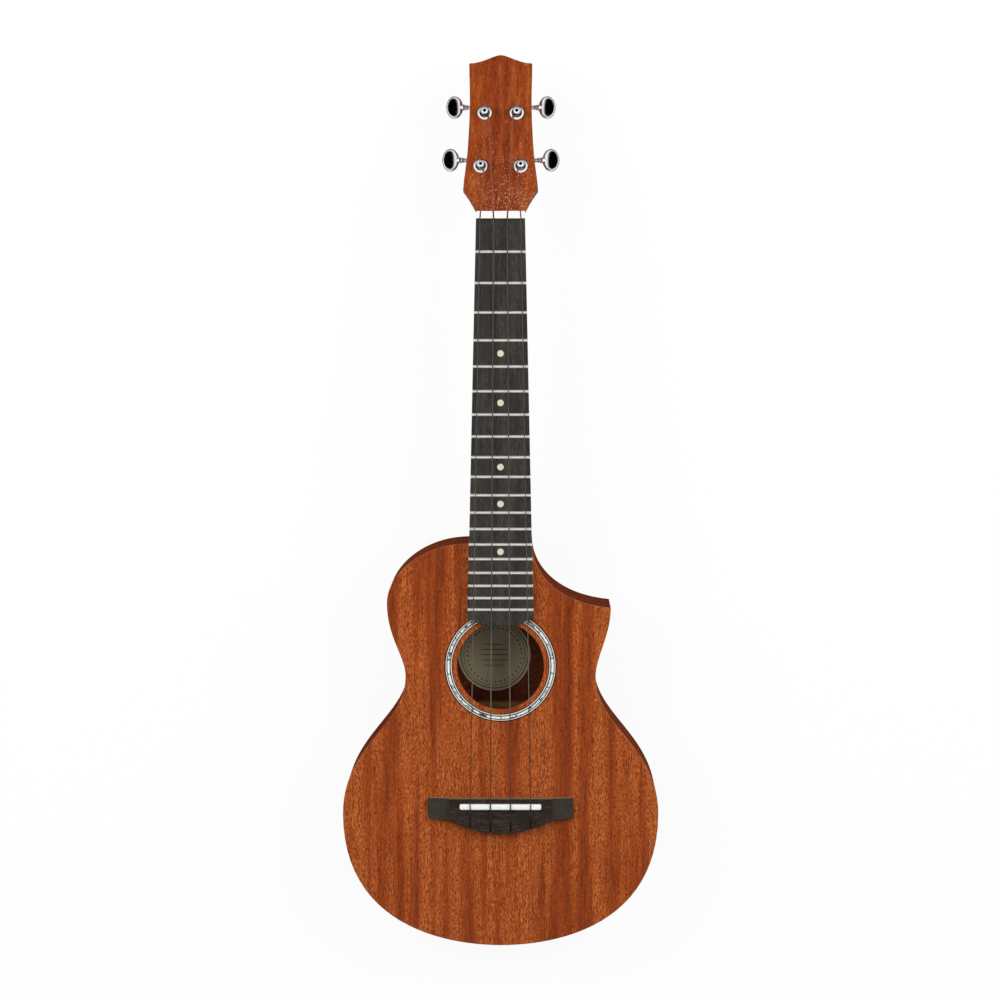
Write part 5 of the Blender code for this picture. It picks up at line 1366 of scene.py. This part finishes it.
def gear_tip():
    """Radius of a gear over its teeth."""
    tuners = settings("tuners")
    return tuners.gear_radius + tuners.tooth / 2 - tuners.backlash


def thread_pitch():
    """Length of the worm's thread in one turn, which moves the gear by one tooth."""
    tuners = settings("tuners")
    return 2 * math.pi * tuners.gear_radius / tuners.teeth


def tuner_piece(kind, name, bm, node, body="instrument", sharp=35):
    """A chromed piece of one tuner, made in the frame of its post."""
    piece(f"{kind}_{name}", moved(bm, tuner_frame(name)), polished_chrome,
        [f"tuner_{node}_{name}"], body, sharp, even=True)


class UKULELE_OT_bushings(Operator):
    """Make the four bushings pressed into the headstock's face"""

    bl_idname = "ukulele.bushings"
    bl_label = "Bushings"

    def execute(self, context):
        tuners = settings("tuners")
        top = tuners.flange_height
        outer = tuners.flange_radius
        barrel = tuners.bushing_radius
        bore = tuners.bore
        profile = [(bore, top), (bore + 0.55 * MM, top), (bore + 0.7 * MM, top - 0.05 * MM),
            (outer - 0.4 * MM, top - 0.45 * MM), (outer - 0.1 * MM, top - 0.75 * MM),
            (outer, top - 1 * MM), (outer, 0), (barrel, 0), (barrel, -tuners.bushing_length),
            (bore, -tuners.bushing_length)]
        for name in TUNERS:
            tuner_piece("bushing", name, turned(profile, 64, closed=True), "bushing")
        return {"FINISHED"}


def cut_sides(bm, cuts, **details):
    """Cut the sides of a new cylinder across its length."""
    sides = [edge for edge in bm.edges if abs(edge.verts[0].co.z - edge.verts[1].co.z) > MM]
    bmesh.ops.subdivide_edges(bm, edges=sides, cuts=cuts, **details)


def gear(side):
    """A gear whose teeth lean with the worm's thread."""
    tuners = settings("tuners")
    bm = bmesh.new()
    bmesh.ops.create_cone(bm, cap_ends=True, segments=tuners.teeth * 12, radius1=1, radius2=1,
        depth=tuners.gear_thickness)
    cut_sides(bm, 3)
    root = gear_tip() - tuners.tooth
    lean = thread_pitch() / (2 * math.pi * tuners.worm_radius) / tuners.gear_radius
    for vert in bm.verts:
        angle = math.atan2(vert.co.x, vert.co.y)
        wave = (1 + math.cos(tuners.teeth * angle)) / 2
        radius = root + tuners.tooth * wave**1.6
        turn = -angle + side * lean * vert.co.z
        vert.co.x = -radius * math.sin(turn)
        vert.co.y = radius * math.cos(turn)
    return moved(bm, Matrix.Translation((0, 0, worm_level())))


class UKULELE_OT_posts(Operator):
    """Make the four string posts, each with its gear and the screw that holds it"""

    bl_idname = "ukulele.posts"
    bl_label = "Posts and gears"

    def execute(self, context):
        tuners = settings("tuners")
        shoulder = tuners.post_height - tuners.cap_height
        bottom = worm_level() - tuners.gear_thickness / 2
        cap = tuners.cap_radius
        across = Matrix.Translation((0, 0, shoulder + tuners.cap_height / 2)) @ UPRIGHT
        # A domed cap over a waist that the string winds round
        profile = curve((0, tuners.post_height),
            (*mm((1.8, 0), (-0.1, 0.7)), (cap, shoulder + 1.1 * MM)), steps=14)
        profile += curve((cap, shoulder + 0.35 * MM),
            (*mm((0, -0.3), (0.3, 0)), (tuners.waist_radius, shoulder)), steps=4)
        profile += [(tuners.waist_radius, tuners.flange_height + 0.7 * MM),
            (tuners.post_radius, tuners.flange_height), (tuners.post_radius, bottom - 0.3 * MM)]
        profile += [Vector((0, bottom)) + point
            for point in mm((2.2, -0.3), (2.2, -1.1), (1.5, -1.4), (0, -1.4))]
        for name, (side, _) in TUNERS.items():
            place = tuner_frame(name)
            hole = rod(tuners.hole_radius, -BORE, BORE, place @ across, 20)
            slot = block((-3 * MM, -0.3 * MM, bottom - 2 * MM), (3 * MM, 0.3 * MM, bottom - 0.8 * MM),
                place)
            bm = combined(turned(profile, 56, matrix=place), "UNION", [moved(gear(side), place)])
            piece(f"post_and_gear_{name}", combined(bm, "DIFFERENCE", [hole, slot]), polished_chrome,
                [f"tuner_post_{name}"], f"post_{name}", even=True)
        return {"FINISHED"}


def key_shaft(side):
    """The worm, its shaft, its collar and the cone that carries the knob, along X."""
    tuners = settings("tuners")
    gap = tuners.gap
    thread = thread_pitch()
    shaft = tuners.shaft_radius
    collar = tuners.collar_radius
    worm_end = tuners.worm_length / 2
    ear_end = worm_end + 2 * gap + tuners.ear_thickness
    collar_end = ear_end + tuners.collar_length
    knob_start = tuners.knob_centre - tuners.knob_half_length
    count = round(tuners.worm_length / thread * 14)
    rings = [(-ear_end - 1 * MM, shaft * 0.8), (-ear_end - 0.7 * MM, shaft), (-worm_end, shaft)]
    rings += [(-worm_end + tuners.worm_length * step / count, None) for step in range(count + 1)]
    rings += [(worm_end, shaft), (ear_end + gap, shaft), (ear_end + 1.5 * gap, collar * 0.92),
        (ear_end + 2.5 * gap, collar), (collar_end + gap, collar), (collar_end + 2 * gap, collar * 0.92),
        (collar_end + 3 * gap, shaft)]
    rings += [(knob_start + at * MM, radius) for at, radius in (
            (-3.7, shaft), (-3.5, shaft * 1.2), (-2.9, shaft * 1.25), (-2.7, shaft * 1.1),
            (-2, shaft * 1.2), (-1.7, collar * 0.88), (-1.2, collar * 0.9), (-1, collar * 0.8),
            (0, collar * 0.95), (0.8, collar * 0.8))]
    rings.append((tuners.knob_centre, tuners.knob_thickness / 4))
    last = len(rings) - 1
    bm = bmesh.new()
    bmesh.ops.create_cone(bm, cap_ends=True, segments=32, radius1=1, radius2=1, depth=last)
    cut_sides(bm, last - 1, use_grid_fill=False)
    for vert in bm.verts:
        x, radius = rings[round(vert.co.z + last / 2)]
        angle = math.atan2(vert.co.y, vert.co.x)
        if radius is None:
            phase = 2 * math.pi * x / thread - angle
            radius = tuners.worm_radius + tuners.tooth / 2 * math.cos(phase)
        vert.co = (side * x, radius * math.cos(angle), radius * math.sin(angle))
    bmesh.ops.recalc_face_normals(bm, faces=bm.faces)
    return bm


def knob(side):
    """An oval button: a shallow dome inside a rounded rim, and thinner towards its shaft.

    The profile is turned at a radius of 1. Its width is then set so that the rim keeps nearly the
    same breadth all round.
    """
    tuners = settings("tuners")
    long = tuners.knob_half_length
    extra = tuners.knob_half_width - long
    # Heights are shares of the knob's half thickness
    upper = curve((0, 1), ((0.24, 0), (-0.24, 0.13), (0.76, 0.8)), steps=10)
    upper += map(Vector, ((0.78, 0.7), (0.795, 0.7), (0.81, 0.735), (0.825, 0.74), (0.865, 0.705),
            (0.905, 0.655), (0.94, 0.58)))
    upper += curve((0.975, 0.506), ((0.012, -0.03), (0, 0.12), (1, 0.25)), steps=4)
    lower = [Vector((point.x, -point.y)) for point in reversed(upper)]
    half = tuners.knob_thickness / 2
    bm = turned([(x, y * half) for x, y in upper + lower], 72)
    for vert in bm.verts:
        radius = max(0.001, math.hypot(vert.co.x, vert.co.y))
        # The button tapers by a quarter towards its shaft
        vert.co.z *= 1 + 0.25 * vert.co.x * side
        vert.co.x = side * tuners.knob_centre + vert.co.x * long
        vert.co.y *= long + extra * min(1, radius / 0.7) / radius
    return bm


class UKULELE_OT_keys(Operator):
    """Make the four keys, each a knob, its shaft and the worm that turns the gear"""

    bl_idname = "ukulele.keys"
    bl_label = "Keys"

    def execute(self, context):
        for name, (side, _) in TUNERS.items():
            bm = moved(joined([key_shaft(side), knob(side)]), worm_axis())
            tuner_piece("worm_key", name, bm, "key", f"key_{name}", sharp=28)
        return {"FINISHED"}


def plate_screw(y, low):
    """A domed screw with a crossed slot, at a height of the plate's lower face."""
    place = Matrix.Translation((0, y, low))
    profile = mm((0, 8), (0.9, 6.2), (0.9, 0.5), (1.9, 0.5))
    profile += curve(*mm((1.9, -0.4)), mm((-0.1, -0.4), (0.8, 0), (0, -1.1)), steps=6)
    arms = []
    for turn in (0.3, 0.3 + math.pi / 2):
        across = place @ Matrix.Rotation(turn, 4, "Z")
        arms.append(block((-1.2 * MM, -0.2 * MM, -2 * MM), (1.2 * MM, 0.2 * MM, -0.5 * MM), across))
    return combined(turned(profile, 32, matrix=place), "DIFFERENCE", arms)


class UKULELE_OT_plates(Operator):
    """Make the four base plates with their ears and screws"""

    bl_idname = "ukulele.plates"
    bl_label = "Base plates"

    def execute(self, context):
        tuners = settings("tuners")
        low, high = plate_levels()
        ear = tuners.ear_half
        seat = 2.6 * MM
        tail = gear_tip() + 2 * seat
        head = tuners.worm_offset + ear + 2 * seat - tuners.gap
        start = tuners.worm_length / 2 + tuners.gap
        corner = 2 * MM
        side = tuners.plate_half - corner
        outline = arc((side, head - corner), corner, 0, 90)
        outline += arc((-side, head - corner), corner, 90, 180)
        outline += arc((-side, corner - tail), corner, 180, 270)
        outline += arc((side, corner - tail), corner, 270, 360)
        across = worm_axis() @ Matrix.Rotation(math.pi / 2, 4, "Y")
        for name in TUNERS:
            ears = []
            for near, far in ((-start - tuners.ear_thickness, -start),
                    (start, start + tuners.ear_thickness)):
                ears.append(block((near, tuners.worm_offset - ear, worm_level()),
                        (far, tuners.worm_offset + ear, (low + high) / 2)))
                ears.append(rod(ear, near, far, across))
            plate = rounded(slab(outline, low, high), 0.25 * MM, keep=at_level(low))
            plate = combined(plate, "UNION", ears)
            plate = combined(plate, "DIFFERENCE", [
                    rod(tuners.post_radius + tuners.gap, -THROUGH, THROUGH),
                    rod(tuners.shaft_radius + tuners.gap, -BORE, BORE, across)])
            screws = [plate_screw(y, low) for y in (seat - tail, head - seat)]
            tuner_piece("base_plate", name, joined([plate] + screws), "plate")
        return {"FINISHED"}


class UKULELE_OT_stage(Operator):
    """Make the floor, the light and the camera"""

    bl_idname = "ukulele.stage"
    bl_label = "Stage"

    def execute(self, context):
        self.floor()
        self.world(context)
        self.lamps(context)
        self.camera(context)
        context.scene.view_settings.view_transform = "Standard"
        return {"FINISHED"}

    def floor(self):
        """A wide white floor, white to the camera and in reflections, that keeps a soft shadow."""
        bm = bmesh.new()
        bmesh.ops.create_grid(bm, x_segments=1, y_segments=1, size=6,
            matrix=Matrix.Translation((0, 0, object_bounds()[0].z)))
        thing = shown_as("floor", bm)
        thing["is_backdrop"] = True
        material = bpy.data.materials.new("white_paper_sweep")
        material.use_nodes = True
        thing.data.materials.append(material)
        nodes = material.node_tree.nodes
        nodes.remove(nodes["Principled BSDF"])
        add = partial(add_node, material.node_tree)
        white = (*settings("colours").floor, 1)
        rays = add("LightPath").outputs
        seen = add("Math", {0: rays["Is Camera Ray"], 1: rays["Is Glossy Ray"]}, operation="MAXIMUM")
        seen = add("Math", {0: seen, 1: rays["Is Transmission Ray"]}, operation="MAXIMUM")
        share = add("Math", {0: seen, 1: 0.92}, operation="MULTIPLY")
        mix = add("MixShader", {0: share, 1: add("BsdfDiffuse", {"Color": white}),
                2: add("Emission", {"Color": white, "Strength": 1})})
        fill(nodes["Material Output"], {"Surface": mix})

    def world(self, context):
        """White to the camera; in reflections also dark at the horizon and in a patch overhead."""
        world = bpy.data.worlds.new("studio")
        context.scene.world = world
        world.use_nodes = True
        add = partial(add_node, world.node_tree)
        place = add("TexCoord").outputs["Generated"]
        mirrored_up = (0, math.sin(2 * HEAD_TILT), math.cos(2 * HEAD_TILT))
        towards = add("VectorMath", {0: place, 1: mirrored_up}, operation="DOT_PRODUCT")
        overhead = add("ValToRGB", {0: towards}, ((0.91, 1.0), (0.94, 0.0)))
        height = add("SeparateXYZ", {0: place}).outputs[2]
        horizon = add("ValToRGB", {0: height}, ((0.4, 0.0), (0.55, 1.0)))
        studio = add("Mix", {0: 1.0, 6: overhead, 7: horizon}, **SHADE)
        rays = add("LightPath").outputs
        sky = settings("stage").sky
        shown = add("Mix", {0: rays["Is Glossy Ray"], 6: (sky, sky, sky, 1), 7: studio}, **OVER)
        seen = add("Mix", {0: rays["Is Camera Ray"], 6: shown, 7: (1, 1, 1, 1)}, **OVER)
        fill(world.node_tree.nodes["Background"], {"Color": seen, "Strength": 1})

    def lamps(self, context):
        """Two soft boxes, one at each side, towards the headstock."""
        for name, x in (("lamp_bass", -1.5), ("lamp_treble", 1.5)):
            data = bpy.data.lights.new(name, "AREA")
            data.shape = "RECTANGLE"
            data.size = 1.2
            data.size_y = 1.6
            data.energy = settings("stage").lamp_power
            lamp = bpy.data.objects.new(name, data)
            context.scene.collection.objects.link(lamp)
            lamp.location = (x, 0.7, 1.6)
            lamp.rotation_mode = "QUATERNION"
            lamp.rotation_quaternion = (-lamp.location).to_track_quat("-Z", "Y")
            # Metal shows the even studio of the world, not the lamps
            lamp.visible_glossy = False

    def camera(self, context):
        """A long lens over the neck, leaning a little towards the tail."""
        stage = settings("stage")
        aim = Vector((-math.tan(stage.camera_turn), -math.tan(stage.camera_tilt), -1)).normalized()
        up = Vector((0, 1, 0))
        up = (up - up.dot(aim) * aim).normalized()
        data = bpy.data.cameras.new("camera")
        data.sensor_width = 36
        data.lens = stage.lens
        data.clip_start = 0.05
        data.clip_end = 50
        camera = bpy.data.objects.new("camera", data)
        context.scene.collection.objects.link(camera)
        turn = Matrix((aim.cross(up), up, -aim)).transposed().to_4x4()
        camera.matrix_world = Matrix.Translation(stage.camera_place) @ turn
        context.scene.camera = camera


class UKULELE_PT_panel(Panel):
    """Lists the steps that make the ukulele"""

    bl_label = "Tenor Ukulele"
    bl_idname = "UKULELE_PT_panel"
    bl_space_type = "VIEW_3D"
    bl_region_type = "UI"
    bl_category = "Ukulele"

    def draw(self, context):
        for step in STEPS:
            self.layout.operator(step.bl_idname)
        for name in GROUPS:
            self.layout.label(text=f"Ukulele {name}")
            group = settings(name)
            for item in group.bl_rna.properties:
                if item.identifier not in ("rna_type", "name"):
                    self.layout.prop(group, item.identifier)


STEPS = (UKULELE_OT_soundboard, UKULELE_OT_rosette, UKULELE_OT_back, UKULELE_OT_sides,
    UKULELE_OT_inner_wood, UKULELE_OT_neck, UKULELE_OT_fretboard, UKULELE_OT_frets, UKULELE_OT_nut,
    UKULELE_OT_bridge, UKULELE_OT_saddle, UKULELE_OT_strings, UKULELE_OT_bushings, UKULELE_OT_posts,
    UKULELE_OT_keys, UKULELE_OT_plates, UKULELE_OT_stage)
GROUPS = {"body": UkuleleBodySizes, "neck": UkuleleNeckSizes, "bridge": UkuleleBridgeSizes,
    "tuners": UkuleleTunerSizes, "strings": UkuleleStringSizes, "colours": UkuleleColours,
    "stage": UkuleleStageSizes}


def register():
    for name, group in GROUPS.items():
        bpy.utils.register_class(group)
        setattr(bpy.types.Scene, f"ukulele_{name}", PointerProperty(type=group))
    for item in (*STEPS, UKULELE_PT_panel):
        bpy.utils.register_class(item)


def unregister():
    for item in (UKULELE_PT_panel, *reversed(STEPS)):
        bpy.utils.unregister_class(item)
    for name, group in GROUPS.items():
        delattr(bpy.types.Scene, f"ukulele_{name}")
        bpy.utils.unregister_class(group)


def main():
    register()
    for step in STEPS:
        getattr(bpy.ops.ukulele, step.bl_idname.removeprefix("ukulele."))()


if __name__ == "__main__":
    main()
